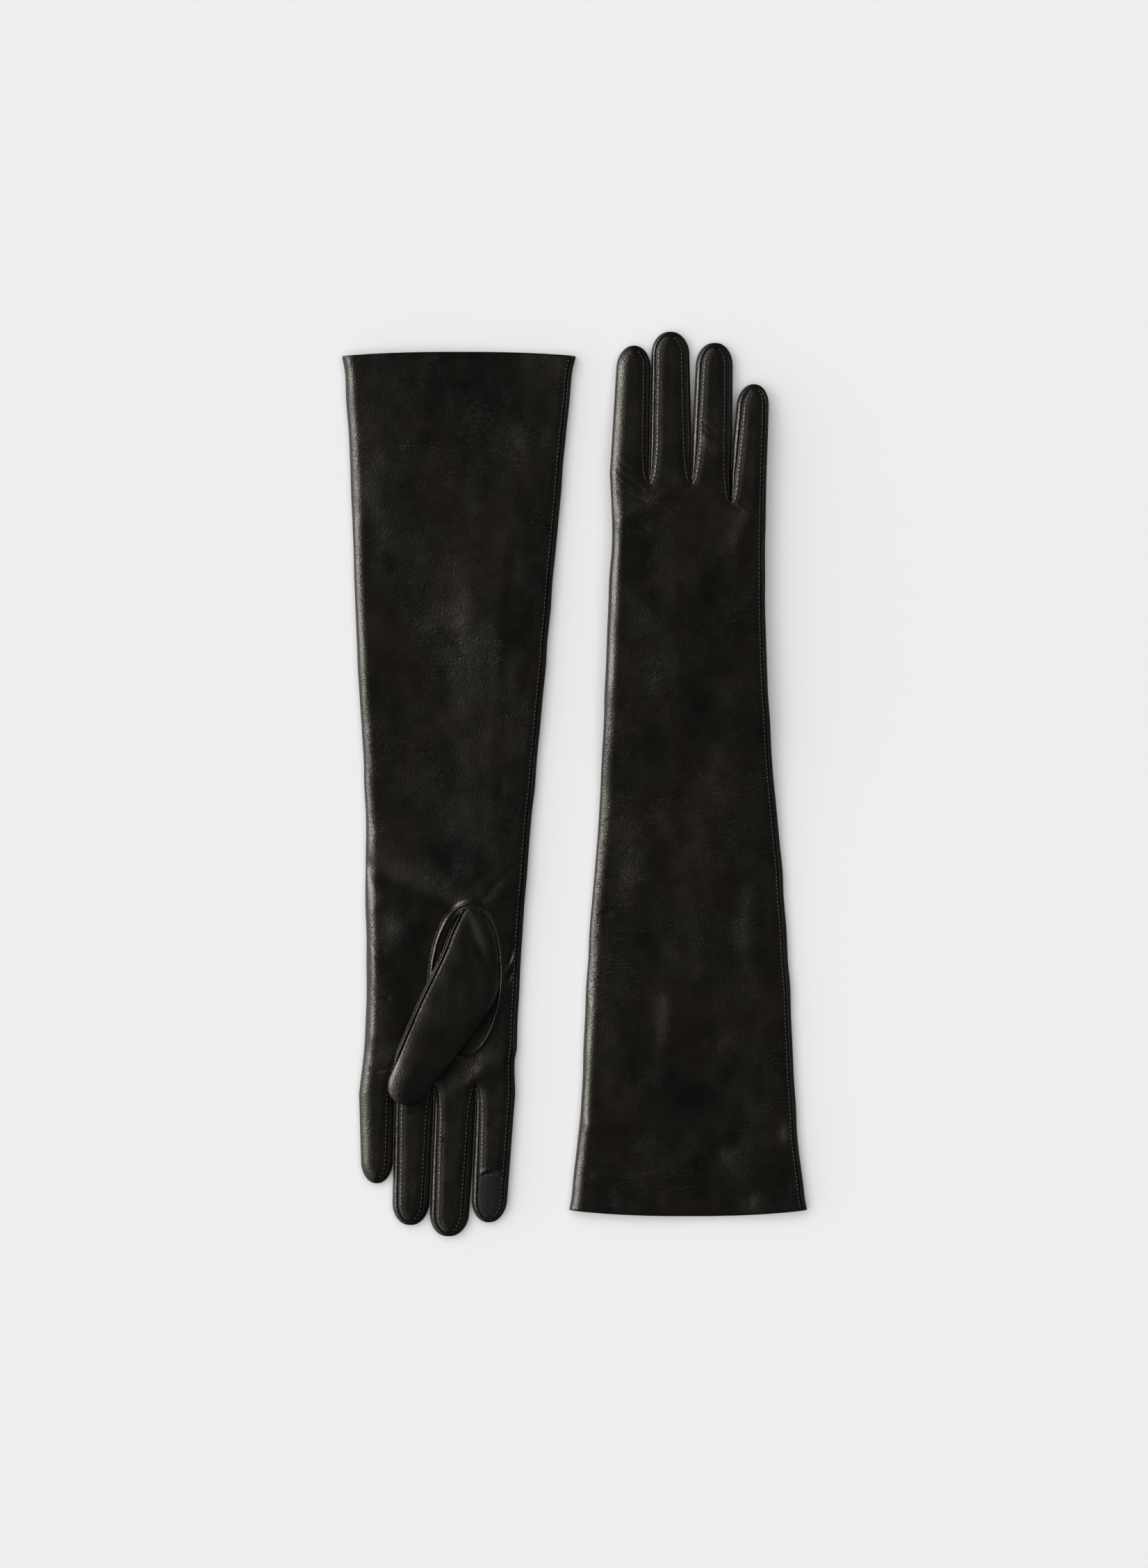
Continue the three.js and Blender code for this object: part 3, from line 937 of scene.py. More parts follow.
@dataclass
class Lay:
    """Takes a hand's own frame to the table, in metres, and its pieces to their bodies.

    Attributes:
        pattern: The glove's pattern.
        pose: How this glove lies.
        climb: v over which the right glove climbs onto its folded thumb.
        fall: v over which its fingers come down again.
        cuff_lap: How far the lower edge of the cuff laps out beyond the upper one.
        cuff_reach: How fast the lap and the curve of the cuff fade up the sleeve.
        ripple: Height of the sideways ripples of the outline.
        ripple_length: Length of a ripple.
        bend_reach: Not used.
    """

    pattern: Pattern
    pose: Pose
    climb: Pair = (201.5, 313.5)
    fall: Pair = (436.57, 509.0)
    cuff_lap: float = 1.4
    cuff_reach: float = 9.0
    ripple: float = 0.3
    ripple_length: float = 17.0
    bend_reach: float = 10.5

    def __post_init__(self) -> None:
        """Reads this glove's place from the CAD boxes of its side seams, and its lift from its palm."""
        sides = [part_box(self.node(f"{side}_side_seam")) for side in ("index", "little")]
        self.sign = -1.0 if self.pose.palm_up else 1.0
        edges = [lo.x for lo, _ in sides] + [hi.x for _, hi in sides]
        half = self.pattern.half_widths[0][1] * METRES
        outer = max(edges, key=abs)
        self.centre = outer - math.copysign(half, outer)
        self.cuff = max(sides[0][1].y, -sides[0][0].y) * -self.sign
        self.rise = 0.0
        if not self.pose.palm_up:
            self.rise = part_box(self.node("back_panel"))[1].z / METRES - self.pattern.thickness
        self.edge_ripple = Undulation(self.pose.seed + 3, 1000, self.ripple_length)
        self.hills = (
            (Undulation(self.pose.seed, 44, 60, 0.5), 1.5),
            (Undulation(self.pose.seed + 1, 21, 29, 0.9), 0.7),
            (Undulation(self.pose.seed + 2, 9, 12, 0.3), 0.16),
        )

    def node(self, name: str) -> str:
        """Name of this hand's CAD node."""
        return f"{self.pose.name}_{name}"

    def relief(self, u: Array, v: Array) -> Array:
        """Height of the soft folds and undulations of the upper face at u, v.

        Args:
            u: Across.
            v: Along.

        Returns:
            The height at each point.
        """
        calm = 1 - 0.55 * smoothstep(v, self.pattern.roots - 10, self.pattern.roots + 15)
        hills = sum(height * hill.at(u, v) for hill, height in self.hills)
        return hills * calm + sum(fold.at(u, v) for fold in self.pose.folds)

    def place(self, u: Array, v: Array, w: Array) -> Array:
        """Takes points of the glove's frame to the table.

        The upper side rides up and down on the folds, in step with its height above the table, the outline
        ripples sideways, the lower edge of the cuff laps out beyond the upper one, and the centre line bows.

        Args:
            u: Across, in millimetres.
            v: Along, in millimetres.
            w: Through the thickness, in millimetres.

        Returns:
            The points in metres, with a last axis of three.
        """
        u, v, w = np.broadcast_arrays(*(np.asarray(x, float) for x in (u, v, w)))
        above = w if self.pose.palm_up else self.pattern.thickness - w
        upper = np.clip(above / self.pattern.thickness, 0, 1)
        side = np.clip(np.abs(u) / through(self.pattern.half_widths, v), 0, 1)
        calm = 1 - smoothstep(v, self.pattern.roots - 40, self.pattern.roots)
        rim = side**4 * np.sign(u) * calm
        ripple = self.edge_ripple.at(400 * np.sign(u), v)
        swell = np.where(u < 0, -through(self.pose.swell[0], v), through(self.pose.swell[1], v))
        bow = through(self.pose.bow, v)
        across = u + swell * side**2 + self.ripple * rim * ripple + bow - self.pose.bow[0][1]
        rise = self.rise * (smoothstep(v, *self.climb) - smoothstep(v, *self.fall))
        corner = self.pose.cuff_curve * side**2.5
        along = v + (corner - self.cuff_lap * (1 - upper)) * np.exp(-v / self.cuff_reach)
        height = np.maximum(above + rise + self.relief(u, v) * upper**1.5, 0)
        x = self.centre + self.sign * across * METRES
        y = self.cuff + self.sign * along * METRES
        return np.stack([x, y, height * METRES], -1)

    @property
    def glove(self) -> str:
        """Name of this hand's main body."""
        return f"{self.pose.name}_glove"

    def fixed(self, piece: bpy.types.Object, *nodes: str) -> bpy.types.Object:
        """Lets a piece ride on the hand, in place of the named nodes.

        Args:
            piece: The piece.
            *nodes: The nodes that it stands for.

        Returns:
            The piece.
        """
        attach(piece, self.glove)
        if nodes:
            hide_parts(*[self.node(name) for name in nodes])
        return piece

    def bending(self, piece: bpy.types.Object, finger: str, *nodes: str) -> bpy.types.Object:
        """Bakes a finger's piece into place, in place of the named nodes; it does not bend.

        Args:
            piece: The piece, with its mesh final.
            finger: Name of the finger.
            *nodes: The nodes that it stands for.

        Returns:
            The piece.
        """
        joint = next(j for j in frame["joints"] if j["name"] == self.node(f"{finger}_bend"))
        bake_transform(piece)
        if nodes:
            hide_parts(*[self.node(name) for name in nodes])
        return piece

    def swinging(self, piece: bpy.types.Object, span: Pair, *nodes: str) -> bpy.types.Object:
        """Bakes a thumb's piece into place, in place of the named nodes; it does not twist.

        Args:
            piece: The piece, with its mesh final.
            span: Not used.
            *nodes: The nodes that it stands for.

        Returns:
            The piece.
        """
        self.node("thumb")
        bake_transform(piece)
        if nodes:
            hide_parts(*[self.node(name) for name in nodes])
        return piece


# ------------------------------------------------------------------ faces and sides of a hand


@dataclass
class Section:
    """Cross-sections of one hand: its seam lines, the faces between them and the side edges beyond them.

    A face is part of an ellipse that rounds over near the side edge, and the side edge is the rest of the
    same ellipse, so that the two run smoothly into each other where there is no groove.

    Attributes:
        lay: How the glove lies.
        slot_groove: Depth of the seam grooves beside the slots.
        groove_width: Half the width of a groove.
        roll: Height of the low roll beside a groove, as a share of the groove's depth.
        roll_at: Distance of the roll from the seam line.
        roll_width: Half the roll's width.
        crown: How much higher a face is in its middle.
        relief_reach: How far inside the skin the seams' relief fades.
    """

    lay: Lay
    slot_groove: float = 0.6
    groove_width: float = 0.6
    roll: float = 0.35
    roll_at: float = 1.5
    roll_width: float = 0.7
    crown: float = 0.5
    relief_reach: float = 0.4

    def __post_init__(self) -> None:
        """Keeps the pattern and the pose at hand, and sets out the fine ripples of the upper face."""
        self.pattern, self.pose = self.lay.pattern, self.lay.pose
        self.rippled = Undulation(self.pose.seed + 5, 24, 17, 0.4)
        self.ripples = Undulation(self.pose.seed + 6, 17, 3.4, 0.08)
        self.small_ripples = Undulation(self.pose.seed + 7, 8, 2.8, -0.1)

    def centre(self, i: int, v: Array) -> Array:
        """u of the middle of finger i at v."""
        finger = self.pattern.fingers[i]
        return finger.middle + self.pose.lean[i] * np.maximum(0, (v - self.pattern.roots) / finger.length)

    def half(self, i: int, v: Array) -> Array:
        """Half the width between the seam lines of finger i at v.

        Args:
            i: Number of the finger.
            v: Levels.

        Returns:
            Half the width at each level.
        """
        finger = self.pattern.fingers[i]
        along = np.maximum(0, (v - self.pattern.roots) / finger.length)
        return finger.width / 2 - self.pattern.seam_in - self.pattern.taper * along

    def slot(self, i: int, v: Array) -> tuple[Array, Array]:
        """Middle and half width of the slot between fingers i and i + 1.

        The slot opens as a quarter of a long ellipse from its bottom; below that its middle line runs on down
        the glove in step with the glove's width, and its half width is 0.

        Args:
            i: Number of the finger on the slot's index side.
            v: Levels.

        Returns:
            The middle and the half width at each level.
        """
        bottom = self.pattern.bottom(i)
        left = self.centre(i, v) + self.half(i, v)
        right = self.centre(i + 1, v) - self.half(i + 1, v)
        share = np.clip((v - bottom) / self.pattern.crotch_opening, 0, 1)
        widths = through(self.pattern.half_widths, np.minimum(v, self.pattern.roots)) - self.pattern.seam_in
        at_root = through(self.pattern.half_widths, bottom) - self.pattern.seam_in
        scale = np.where(v < bottom, widths / at_root, 1)
        return (left + right) / 2 * scale, (right - left) / 2 * np.sqrt(1 - (1 - share) ** 2)

    def edges(self, i: int, v: Array) -> tuple[Array, Array]:
        """u of finger i's two seam lines at v; below the slots they divide the whole hand.

        Args:
            i: Number of the finger.
            v: Levels.

        Returns:
            u of its left and of its right seam line.
        """
        outer = through(self.pattern.half_widths, v) - self.pattern.seam_in
        above = v >= self.pattern.roots
        if i == 0:
            left = np.where(above, self.centre(0, v) - self.half(0, v), -outer)
        else:
            middle, gap = self.slot(i - 1, v)
            left = middle + gap
        if i == len(self.pattern.fingers) - 1:
            right = np.where(above, self.centre(i, v) + self.half(i, v), outer)
        else:
            middle, gap = self.slot(i, v)
            right = middle - gap
        return left, right

    def groove(self, distance: Array, depth: Array | float) -> Array:
        """Height beside a seam line: a groove at the line and a low roll next to it."""
        roll = self.roll * bump(distance, self.roll_at, self.roll_width)
        return depth * (roll - bump(distance, 0, self.groove_width))

    def showing(self, inset: float) -> float:
        """How much of the seams' relief a layer has, inset inside the skin: exp(-inset / reach)."""
        return math.exp(-inset / self.relief_reach)

    def rounded(self, distance: Array, v: Array, inset: float = 0.0) -> Array:
        """How far the face has rounded over, from 0 on the flat to 1 at the side edge."""
        shoulder = self.pattern.shoulder(v) - inset
        return np.clip(1 - (distance + self.pattern.seam_in - inset) / shoulder, 0, 1)

    def face(self, i: int, u: Array, v: Array, ends: tuple[Array, Array], inset: float = 0.0) -> Array:
        """Height of a face above the middle plane at u, v within the column of finger i.

        It is the ellipse half thickness * sqrt(1 - q^2), where q is how far the face has rounded over towards
        each seam line and the bottom of each slot, plus the grooves of the seams and a low crown.

        Args:
            i: Number of the finger whose column it is.
            u: Across.
            v: Along.
            ends: u of the column's two seam lines at each point.
            inset: How far inside the outer skin the layer lies.

        Returns:
            The height at each point.
        """
        last = len(self.pattern.fingers) - 1
        total, sewn = np.zeros_like(u), np.zeros_like(u)
        for side, end in enumerate(ends):
            slot = i - 1 + side
            distance = np.abs(u - end)
            depth = np.full_like(u, self.pose.sewn[side])
            if 0 <= slot < last:
                bottom = self.pattern.bottom(slot)
                middle, _ = self.slot(slot, np.array(bottom))
                below = np.hypot(u - middle, bottom - v)
                distance = np.where(v < bottom, below, distance)
                depth = np.full_like(u, self.slot_groove)
            total += self.rounded(distance, v, inset) ** 2
            sewn += self.groove(distance, depth)
        for slot in (i - 2, i + 1):
            if 0 <= slot < last:
                bottom = self.pattern.bottom(slot)
                middle, _ = self.slot(slot, np.array(bottom))
                distance = np.hypot(u - middle, np.maximum(bottom - v, 0))
                total += np.where(v < bottom, self.rounded(distance, v, inset) ** 2, 0)
        flat = 1 - np.clip(total, 0, 1)
        thick = self.pattern.edge - inset
        return thick * np.sqrt(flat) + self.showing(inset) * sewn + self.crown * flat

    def fine(self, u: Array, v: Array, calm: Array) -> Array:
        """Height of the fine creases of the upper face: short ripples in patches, and single creases.

        Args:
            u: Across.
            v: Along.
            calm: Share of the height that is left at each point, 0 at the seams.

        Returns:
            The height at each point.
        """
        patches = np.clip(self.rippled.at(u, v) * 1.6 + 0.3, 0, 1)
        ridged = 0.13 * self.ripples.at(u, v) + 0.06 * self.small_ripples.at(u, v)
        strength = 1 - 0.75 * smoothstep(v, 400, 430)
        if not self.pose.palm_up:
            strength = strength * 0.45
        creases = sum(crease.at(u, v) for crease in self.pose.creases)
        return (patches * ridged * strength + creases) * calm

    def side(
        self, v: Array, bulge: Array, depth: float, steps: int = 13, inset: float = 0.0
    ) -> tuple[Array, Array]:
        """Profile of a side edge, from the palm's seam line round to the back's.

        It is the arc of the ellipse that the face leaves off at the seam line, as long outwards as bulge.

        Args:
            v: Levels, one row each.
            bulge: How far the side stands out at each level.
            depth: Depth of the seam grooves.
            steps: How many points round the profile.
            inset: How far inside the outer skin the layer lies.

        Returns:
            How far out and how high above the middle plane each point is, of shape (rows, steps).
        """
        shoulder = (self.pattern.shoulder(v) - inset)[:, None]
        thick = self.pattern.edge - inset
        width = self.pattern.seam_in - inset
        turn = np.arccos(1 - width / shoulder)
        share = np.sin(np.linspace(-np.pi / 2, np.pi / 2, steps))[None, :]
        angle = turn * share
        out = (shoulder * np.cos(angle) - (shoulder - width)) / width * bulge[:, None]
        height = thick * np.sin(angle)
        end = thick * np.sin(turn)
        distance = np.hypot(out, end - np.abs(height))
        return out, height + np.sign(height) * self.groove(distance, depth * self.showing(inset))


@dataclass(frozen=True)
class Oval:
    """An upright oval in the glove's frame.

    Attributes:
        u: Its centre across.
        v: Its centre along.
        across: Half its width.
        along: Half its length.
    """

    u: float
    v: float
    across: float
    along: float

    def reach(self, u: Array, v: Array, margin: float) -> Array:
        """Distance of u, v from the centre, as a share of that of the oval drawn in by margin."""
        return np.hypot((u - self.u) / (self.across - margin), (v - self.v) / (self.along - margin))

    def beside(self, around: Array, offset: Array) -> tuple[Array, Array]:
        """u and v of points on its normals, offset outwards, where around is the angle.

        Args:
            around: Angles round the oval.
            offset: Distances out of it.

        Returns:
            u and v of the points.
        """
        normal = np.stack([np.cos(around) / self.across, np.sin(around) / self.along], -1)
        normal /= np.linalg.norm(normal, axis=-1)[..., None]
        u = self.u + self.across * np.cos(around) + normal[..., 0] * offset
        v = self.v + self.along * np.sin(around) + normal[..., 1] * offset
        return u, v

    def within(self, around: Array, share: Array, margin: float) -> tuple[Array, Array]:
        """u and v at shares of the way from the centre to the oval drawn in by margin.

        Args:
            around: Angles round the oval.
            share: Shares of the way.
            margin: How far it is drawn in.

        Returns:
            u and v of the points.
        """
        u = self.u + (self.across - margin) * share * np.cos(around)
        v = self.v + (self.along - margin) * share * np.sin(around)
        return u, v


@dataclass
class HandShell:
    """The body of one hand: both panels, the side edges, the crotches, the turned hem and the lining.

    Attributes:
        section: Cross-sections of the hand.
        columns: Points across a column of the upper face.
        coarse: Points across a column of the lower face.
        row: Distance between two rows of the upper face.
        hem_start: v at which the panels meet the rolled hem.
        hem_depth: How far in the hem goes.
        hem_inset: How far inside the skin the turned-in hem begins.
        lining_inset: How far inside the skin the lining lies.
        lining_end: v at which the lining ends.
        hole: The thumb hole.
        hole_margin: How far the palm's leather reaches inside it, under the rim.
    """

    section: Section
    columns: int = 31
    coarse: int = 15
    row: float = 1.0
    hem_start: float = 0.45
    hem_depth: float = 15.0
    hem_inset: float = 1.45
    lining_inset: float = 2.2
    lining_end: float = 402.0
    hole: Oval = Oval(-13.6, 361.0, 19.4, 43.2)
    hole_margin: float = 2.6

    def __post_init__(self) -> None:
        """Keeps the pattern and the lay at hand."""
        self.lay, self.pattern, self.pose = self.section.lay, self.section.pattern, self.section.pose

    def column(self, i: int, v: Array, shares: Array, palm: bool, fine: bool) -> tuple[Array, Array]:
        """A column of a panel that runs up into finger i.

        Args:
            i: Number of the finger.
            v: Levels, one row each.
            shares: Places across the column, from 0 to 1.
            palm: True for the palm, False for the back.
            fine: True for the face that is up, which has the fine creases.

        Returns:
            The column's points and the points of the middle plane under them.
        """
        left, right = self.section.edges(i, v)
        u = left[:, None] + (right - left)[:, None] * shares[None, :]
        rows = np.broadcast_to(v[:, None], u.shape)
        ends = (np.broadcast_to(left[:, None], u.shape), np.broadcast_to(right[:, None], u.shape))
        height = self.section.face(i, u, rows, ends)
        if fine:
            near = np.minimum(np.abs(u - ends[0]), np.abs(u - ends[1]))
            outer = through(self.pattern.half_widths, rows) - self.pattern.seam_in - np.abs(u)
            near = np.where(rows < self.pattern.crotches[2] - 12, outer, near)
            height = height + self.section.fine(u, rows, smoothstep(near, 0, 3))
        middle = self.pattern.edge
        w = middle + height if palm else middle - height
        return self.lay.place(u, rows, w), self.lay.place(u, rows, np.full_like(u, middle))

    def panel(self, palm: bool) -> bpy.types.Object:
        """The palm or the back panel, from the turned hem up into the four finger roots.

        Args:
            palm: True for the palm, False for the back.

        Returns:
            The piece.
        """
        up = palm == self.pose.palm_up
        shares = crowded(self.columns if up else self.coarse)
        step = self.row if up else 2 * self.row
        skin = Skin()
        base = np.arange(self.hem_start, self.pattern.bottom(2) - 8, step)
        for i in range(len(self.pattern.fingers)):
            v = np.concatenate([base, self.shared_rows(i, base[-1], step)])
            grid, inner = self.column(i, v, shares, palm, up)
            keep = None
            if palm:
                keep = self.outside_hole(i, v, shares)
            skin.add(grid, inner, keep)
        name = "palm_panel" if palm else "back_panel"
        return self.lay.fixed(skin.piece(self.lay.node(f"{name}_leather"), Finish.PANEL), name)

    def shared_rows(self, i: int, start: float, step: float) -> Array:
        """Levels from start to finger i's split, the same in every column as far as both reach.

        Args:
            i: Number of the finger.
            start: Where the levels begin.
            step: About how far apart they are.

        Returns:
            The levels, without start.
        """
        bottoms = {self.pattern.bottom(k) for k in range(len(self.pattern.crotches))}
        stops = sorted(bottoms | {self.pattern.split(k) for k in range(len(self.pattern.fingers))})
        rows: list[Array] = []
        for stop in stops:
            count = max(1, int(round((stop - start) / (step * 0.8))))
            rows.append(np.linspace(start, stop, count + 1)[1:])
            start = stop
            if stop == self.pattern.split(i):
                break
        return np.concatenate(rows)

    def outside_hole(self, i: int, v: Array, shares: Array) -> NDArray[np.bool_]:
        """Which quads of a column lie outside the thumb hole.

        Args:
            i: Number of the finger.
            v: Its levels.
            shares: Its places across.

        Returns:
            True for each quad that does.
        """
        left, right = self.section.edges(i, v)
        u = left[:, None] + (right - left)[:, None] * shares[None, :]
        u = (u[:-1, :-1] + u[1:, 1:]) / 2
        rows = ((v[:-1] + v[1:]) / 2)[:, None]
        return self.hole.reach(u, rows, self.hole_margin) > 1

    def strip(self, skin: Skin, u: Array, v: Array, out: Array, bulge: Array, depth: float) -> None:
        """Adds a side edge along a seam line.

        Args:
            skin: The skin that it is added to.
            u: Seam line across.
            v: Seam line along.
            out: Direction out of the glove at each point of the line, of shape (rows, 2).
            bulge: How far it stands out at each point.
            depth: Depth of its seam grooves.
        """
        reach, height = self.section.side(v, bulge, depth)
        across, along = u[:, None] + out[:, :1] * reach, v[:, None] + out[:, 1:] * reach
        middle = self.pattern.edge
        inside = self.lay.place(u[:, None] - out[:, :1], v[:, None] - out[:, 1:], middle + 0 * reach)
        skin.add(self.lay.place(across, along, middle + height), inside)

    def side(self, right: bool) -> bpy.types.Object:
        """The side edge along the index side or the little side, from the hem to its finger.

        Args:
            right: True for the little side.

        Returns:
            The piece.
        """
        i = len(self.pattern.fingers) - 1 if right else 0
        split = self.pattern.split(i)
        v = np.append(np.arange(self.hem_start, split - self.row / 2, self.row), split)
        u = self.section.edges(i, v)[int(right)]
        out = np.tile([1.0 if right else -1.0, 0.0], (len(v), 1))
        skin = Skin()
        self.strip(skin, u, v, out, np.full_like(v, self.pattern.seam_in), self.pose.sewn[int(right)])
        name = "little_side" if right else "index_side"
        piece = skin.piece(self.lay.node(f"{name}_leather"), Finish.SEAM)
        return self.lay.fixed(piece, f"{name}_seam")

    def bulge(self, slot: int, v: Array) -> Array:
        """How far the strips between two fingers stand out into their slot at v."""
        gap = self.section.slot(slot, v)[1]
        return np.clip(np.minimum(self.pattern.fourchette, gap - self.pattern.air), 0, None)

    def crotch(self, slot: int) -> bpy.types.Object:
        """The roots of the two strips between fingers, meeting at the bottom of their slot.

        Args:
            slot: Number of the finger on its index side.

        Returns:
            The piece.
        """
        skin = Skin()
        for i, towards in ((slot, 1.0), (slot + 1, -1.0)):
            end = self.pattern.split(i)
            bottom = self.pattern.bottom(slot)
            v = bottom + (end - bottom) * np.linspace(0, 1, 26) ** 1.5
            u = self.section.edges(i, v)[int(towards > 0)]
            out = np.tile([towards, 0.0], (len(v), 1))
            self.strip(skin, u, v, out, self.bulge(slot, v), self.section.slot_groove)
        names = [self.pattern.fingers[k].name for k in (slot, slot + 1)]
        node = f"crotch_{names[0]}_{names[1]}"
        return self.lay.fixed(skin.piece(self.lay.node(f"{node}_leather"), Finish.SEAM), node)

    def ring(self, v: Array, inset: float) -> tuple[Array, Array, Array]:
        """A closed line round the sleeve: the palm face, one side edge, the back face and the other.

        Args:
            v: Its level.
            inset: How far inside the outer skin it lies.

        Returns:
            u, v and w along the line.
        """
        level = np.array([v], float)
        half = through(self.pattern.half_widths, level)[0] - self.pattern.seam_in
        us, ws = [], []
        middle = self.pattern.edge
        bulge = level * 0 + self.pattern.seam_in - inset
        fingers = range(len(self.pattern.fingers))
        for palm in (True, False):
            for i in fingers if palm else reversed(fingers):
                left, right = (float(x[0]) for x in self.section.edges(i, level))
                shares = crowded(self.coarse)
                shares = shares if palm else shares[::-1]
                u = left + (right - left) * shares
                rows = np.full_like(u, v)
                height = self.section.face(i, u, rows, (u * 0 + left, u * 0 + right), inset)
                us.append(u)
                ws.append(middle + height if palm else middle - height)
            outs, heights = self.section.side(level, bulge, self.pose.sewn[int(palm)], inset=inset)
            us.append(half + outs[0] if palm else -half - outs[0])
            ws.append(middle + (heights[0][::-1] if palm else heights[0]))
        u, w = np.concatenate(us), np.concatenate(ws)
        return np.append(u, u[0]), np.full(len(u) + 1, float(v)), np.append(w, w[0])

    def tube(self, levels: Sequence[Pair]) -> tuple[Array, Array]:
        """Rings at the given (v, inset) levels, and the sleeve's middle line.

        Args:
            levels: Each ring's v and its inset inside the skin.

        Returns:
            The rings' points, and the points of the middle line beside them.
        """
        rings = [self.ring(v, inset) for v, inset in levels]
        u, v, w = (np.stack([ring[k] for ring in rings]) for k in range(3))
        return self.lay.place(u, v, w), self.lay.place(u * 0.8, v, w * 0 + self.pattern.edge)

    def hem(self) -> bpy.types.Object:
        """The cuff's edge, rolled over and turned in."""
        start = (self.hem_start, 0.0)
        roll = ((0.2, 0.1), (0.05, 0.3), (0.0, 0.6), (0.06, 0.95), (0.25, 1.2), (0.7, 1.4))
        inwards = np.linspace(2, self.hem_depth, 8)
        turned = [(v, self.hem_inset + 0.3 * (v / self.hem_depth)) for v in inwards]
        grid, _ = self.tube([start, *roll, *turned])
        skin = Skin().add(grid, grid.mean((0, 1)))
        return self.lay.fixed(skin.piece(self.lay.node("cuff_turned_hem"), Finish.PANEL), "cuff_hem")

    def lining(self) -> bpy.types.Object:
        """The lining, a flat tube inside the leather that shows its inner side in the cuff's mouth."""
        levels = [(v, self.lining_inset) for v in np.linspace(self.hem_depth - 2, self.lining_end, 40)]
        skin = Skin().add(*self.tube(levels), inside_out=True)
        return self.lay.fixed(skin.piece(self.lay.node("lining_tube"), Finish.LINING), "lining")

    def build(self) -> list[bpy.types.Object]:
        """All pieces of the hand's body."""
        return [
            self.panel(True),
            self.panel(False),
            self.side(False),
            self.side(True),
            *(self.crotch(slot) for slot in range(len(self.pattern.crotches))),
            self.hem(),
            self.lining(),
        ]


@dataclass
class Finger:
    """One finger past its split: back, front, two side strips and, on the index, the touch tip.

    Attributes:
        hand: The hand that it grows from.
        i: Its number, from the index.
        tip_steps: Rows round its rounded tip.
    """

    hand: HandShell
    i: int
    tip_steps: int = 14

    def __post_init__(self) -> None:
        """Works out the finger's rows and keeps its parts at hand."""
        self.section, self.lay, self.pattern = self.hand.section, self.hand.lay, self.hand.pattern
        self.cut = self.pattern.fingers[self.i]
        start, tip = self.pattern.split(self.i), self.pattern.tip(self.i)
        arc = tip - self.pattern.tip_round
        straight = np.linspace(start, arc, int(round((arc - start) / self.hand.row)) + 1)
        turn = np.linspace(0, np.pi / 2, self.tip_steps + 1)[1:]
        self.v = np.concatenate([straight, arc + self.pattern.tip_round * np.sin(turn)])
        left, right = self.section.edges(self.i, straight)
        centre = self.section.centre(self.i, self.v)
        arc_half = self.section.half(self.i, np.array(arc))
        self.left = np.concatenate([left, centre[len(left):] - arc_half * np.cos(turn)])
        self.right = np.concatenate([right, centre[len(left):] + arc_half * np.cos(turn)])
        self.turn = np.concatenate([np.zeros(len(straight)), turn])
        self.arc_half = float(arc_half)

    def face(self, palm: bool, rows: slice, arch: float = 0.0) -> Skin:
        """The finger's front or back between two of its rows.

        Args:
            palm: True for the front.
            rows: Which rows.
            arch: Rise of the touch tip's arched seam, towards the wrist.

        Returns:
            The skin.
        """
        shares = crowded(self.hand.columns if palm == self.hand.pose.palm_up else self.hand.coarse)
        left, right, v = self.left[rows, None], self.right[rows, None], self.v[rows, None]
        u = left + (right - left) * shares
        seam = self.pattern.touch_seam
        v = v - arch * (1 - (2 * shares[None, :] - 1) ** 2) * bump(v, seam, 9)
        height = self.section.face(self.i, u, v, (left + 0 * u, right + 0 * u))
        if palm == self.hand.pose.palm_up:
            near = np.minimum(u - left, right - u)
            height = height + self.section.fine(u, v, smoothstep(near, 0, 2.5))
        if arch:
            level = self.v[rows, None]
            height = height - 0.55 * bump(level, seam, 0.8) + 0.45 * bump(level, seam - 2.2, 1.3)
        middle = self.pattern.edge
        w = middle + height if palm else middle - height
        return Skin().add(self.lay.place(u, v, w), self.lay.place(u, v, middle + 0 * u))

    def strip(self, side: int) -> Skin:
        """The strip along one side of the finger, round to the middle of its tip.

        Args:
            side: 0 for its index side, 1 for its little side.

        Returns:
            The skin.
        """
        slot = self.i - 1 + side
        towards = 1.0 if side else -1.0
        between = 0 <= slot < len(self.pattern.fingers) - 1
        edge = np.full_like(self.v, self.pattern.seam_in)
        if between:
            limit = self.hand.bulge(slot, self.v)
            edge = edge + (limit - edge) * np.cos(self.turn)
        depth = self.section.slot_groove if between else self.section.pose.sewn[side]
        across = towards * self.pattern.tip_round * np.cos(self.turn)
        along = self.arc_half * np.sin(self.turn)
        out = np.stack([across, along], -1) / np.hypot(across, along)[:, None]
        skin = Skin()
        self.hand.strip(skin, self.right if side else self.left, self.v, out, edge, depth)
        return skin

    def build(self) -> list[bpy.types.Object]:
        """All pieces of the finger."""
        name, whole = self.cut.name, slice(None)
        made = [(self.face(False, whole), f"{name}_back", Finish.FINGER)]
        if self.i == 0:
            row = int(np.argmin(np.abs(self.v - self.pattern.touch_seam)))
            arch = self.pattern.touch_arch
            made.append((self.face(True, slice(None, row + 1), arch), f"{name}_front", Finish.FINGER))
            made.append((self.face(True, slice(row, None), arch), f"{name}_touch_tip", Finish.TOUCH))
        else:
            made.append((self.face(True, whole), f"{name}_front", Finish.FINGER))
        for side in (0, 1):
            other = self.i - 1 + 2 * side
            node = f"{name}_outer_side"
            if 0 <= other < len(self.pattern.fingers):
                node = f"{name}_fourchette_{self.pattern.fingers[other].name}_side"
            made.append((self.strip(side), node, Finish.SEAM))
        pieces = []
        for skin, node, finish in made:
            piece = skin.piece(self.lay.node(f"{node}_skin"), finish)
            pieces.append(self.lay.bending(piece, name, node))
        return pieces


